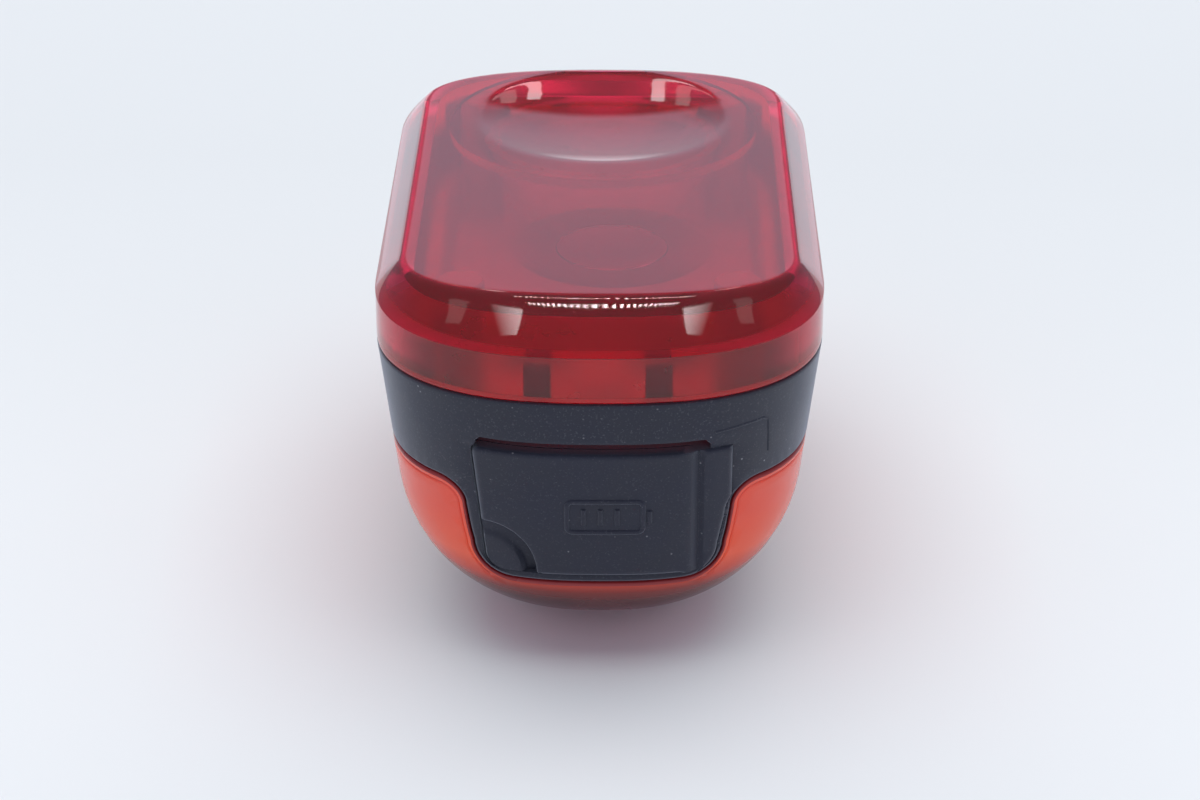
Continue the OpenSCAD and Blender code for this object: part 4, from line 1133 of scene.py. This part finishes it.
def buildLead(name, x, finish, node):
    y0, z0, bend, fit = battery["board"], battery["z"] + battery["t"] / 2, battery["leadBend"], battery["fit"]
    y1 = y0 - battery["leadStub"]
    path = [(x, y0 + fit, z0), (x, y0 - battery["leadStub"] / 2, z0)]
    path += [(x, y1 - bend * math.sin(a), z0 + bend * (1 - math.cos(a))) for a in np.linspace(0, math.pi / 2, 12)]
    path += [(x, y1 - bend, battery["boardZ"] - d) for d in (1.2, 0.6, fit)]
    m = Mesher()
    m.tube(path, battery["leadR"], 18, (1, 0, 0))
    m.piece(name, finish, 60, (node,))


buildBattery()
buildPad()
buildLead("leadPositive", battery["leadX"], leadRed, "lead_positive")
buildLead("leadNegative", -battery["leadX"], leadBlack, "lead_negative")
print("battery, pad and leads built")

# floor and light box: pale all round, dimmer overhead, with slanted light panels, side cards and two rows of diodes;
# panels, faint, dish and rows are places overhead in shares of the height, and only reflections show them
stage = {
    "floor": (0.80, 0.83, 0.842), "floorFarShaded": (0.71, 0.737, 0.75), "floorShadeFade": (-0.03, 0.07), "floorHalf": 4,
    "horizon": (1.6, 1.58, 1.75), "low": (0.78, 0.75, 0.9), "back": (0.99, 0.9, 1.14), "side": (0.28, 0.32, 0.41),
    "front": (0.68, 0.72, 0.85), "dim": (0.18, 0.18, 0.2), "above": (0.3, 0.3, 0.33), "height": 0.6,
    "cardGlow": 1.45, "cardTint": (0.84, 0.9, 1.0), "card": ((0.035, 0.13), (0.08, 0.11)), "cardZ": (0.001, 0.045),
    "panelGlow": (8.0, 0.3, 0.115, 0.2), "faintGlow": 1.0, "dishGlow": 3.2, "rowGlow": 34.0, "rowPitch": 0.0048,
    "panels": (((-0.244, 0.263), (-0.149, 0.284), (-0.117, 0.362), (-0.207, 0.359)),),
    "faint": (((-0.46, 0.318), (-0.36, 0.306), (-0.27, 0.35), (-0.385, 0.35)),
              ((-0.148, 1.35), (-0.175, 1.42), (-0.185, 1.86), (-0.155, 1.77))),
    "dish": (((-0.1, 1.18), (-0.125, 1.25), (-0.132, 1.64), (-0.105, 1.59)),),
    "rows": ((0.4, 0.1), (0.66, 0.115)), "rowHalf": 0.016, "aim": (0, 0, 0.015),
    "lamps": (("softTop", 11.0, (0, 0, 1.2), (1.6, 1.28)), ("softBack", 18.0, (0, 1.25, 0.72), (3.36, 1.34))),
}


def sheet(name, corners, finish, hidden=True):
    mesh = bpy.data.meshes.new(name)
    mesh.from_pydata(corners, [], [tuple(range(len(corners)))])
    mesh.materials.append(finish)
    obj = linked(name, mesh)
    obj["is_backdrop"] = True
    if hidden:
        obj.visible_camera = obj.visible_diffuse = obj.visible_shadow = False


def buildStage():
    f = Finish("paleTable")
    # painted shade: the floor's colour darkens towards the back, standing in for less light on the far floor
    back = f.spread(f.axis("Y"), 0.0, 1.0, *stage["floorShadeFade"])
    tone = f.ramp(back, (0.0, stage["floor"]), (1.0, stage["floorFarShaded"]))
    table = f.done(f.shader(Base_Color=tone, Roughness=0.7, Specular_IOR_Level=0.0))
    s = stage["floorHalf"]
    sheet("floor", [(-s, -s, 0), (s, -s, 0), (s, s, 0), (-s, s, 0)], table, False)

    h = stage["height"]
    f = Finish("panelGlow")
    bright, faint, near, far = stage["panelGlow"]
    glows = {"panels": f.glow(Strength=f.spread(f.maths("ABSOLUTE", f.axis("X")), bright, faint, near * h, far * h))}
    for key in ("faint", "dish"):
        glows[key] = Finish(f"{key}Glow").glow(Strength=stage[f"{key}Glow"])
    cardGlow = Finish("cardGlow").glow(Color=stage["cardTint"], Strength=stage["cardGlow"])
    (x0, y0), (x1, y1) = stage["card"]
    z0, z1 = stage["cardZ"]
    for side, mark in ((1, "L"), (-1, "R")):
        corners = [(x0, y0, z0), (x1, y1, z0), (x1, y1, z1), (x0, y0, z1)]
        sheet(f"card{mark}", [(-side * x, y, z) for x, y, z in corners], cardGlow)
        for key, finish in glows.items():
            for k, corners in enumerate(stage[key]):
                sheet(f"{key}{k}{mark}", [(side * x * h, y * h, h) for x, y in corners], finish)
    f = Finish("rowGlow")
    waveScale = 2 * math.pi / (20 * stage["rowPitch"])
    dots = f.node("ShaderNodeTexWave", Vector=f.coords, Scale=waveScale, bands_direction="X")
    rowGlow = f.glow(Strength=f.spread(dots.outputs["Fac"], 0.0, stage["rowGlow"], 0.55, 0.9))
    for k, (y, x) in enumerate(stage["rows"]):
        y0, y1, x = (y - stage["rowHalf"]) * h, (y + stage["rowHalf"]) * h, x * h
        sheet(f"row{k}", [(-x, y0, h), (x, y0, h), (x, y1, h), (-x, y1, h)], rowGlow)

    # the box's walls by direction: a pale strip of backdrop behind, dimmer sides, a brighter front
    f = Finish("lightBox", world=True)
    up, ahead = f.axis("Z"), f.spread(f.axis("Y"), 0.0, 1.0, -1.0, 1.0)
    front = f.ramp(up, (0.5, stage["front"]), (0.8, stage["above"]))
    side = f.ramp(up, (0.5, stage["side"]), (0.75, stage["above"]))
    back = f.ramp(up, (0.0, stage["horizon"]), (0.08, stage["low"]), (0.28, stage["back"]), (0.42, stage["back"]),
                  (0.455, stage["dim"]), (0.72, stage["above"]))
    around = f.mixColour(f.step(ahead, 0.3, 0.45), front, side)
    behind = f.mixColour(f.step(ahead, 0.6, 0.7), around, back)
    walls = f.mixColour(f.step(f.maths("ABSOLUTE", f.axis("X")), 0.075, 0.13), behind, around)
    scene.world = f.done(f.node("ShaderNodeBackground", Color=walls).outputs[0])

    for name, power, place, size in stage["lamps"]:
        lamp = bpy.data.lights.new(name, "AREA")
        lamp.shape = "RECTANGLE"
        lamp.size, lamp.size_y = size
        lamp.energy = power
        obj = linked(name, lamp)
        obj.location = place
        obj.rotation_euler = (Vector(stage["aim"]) - obj.location).to_track_quat("-Z", "Y").to_euler()
        obj.visible_glossy = obj.visible_transmission = False


buildStage()
print("stage built")

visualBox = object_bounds()
inMm = lambda box: [tuple(round(c / mm, 2) for c in v) for v in box]
print("cad box", inMm(cadBox), "visual box", inMm(visualBox))
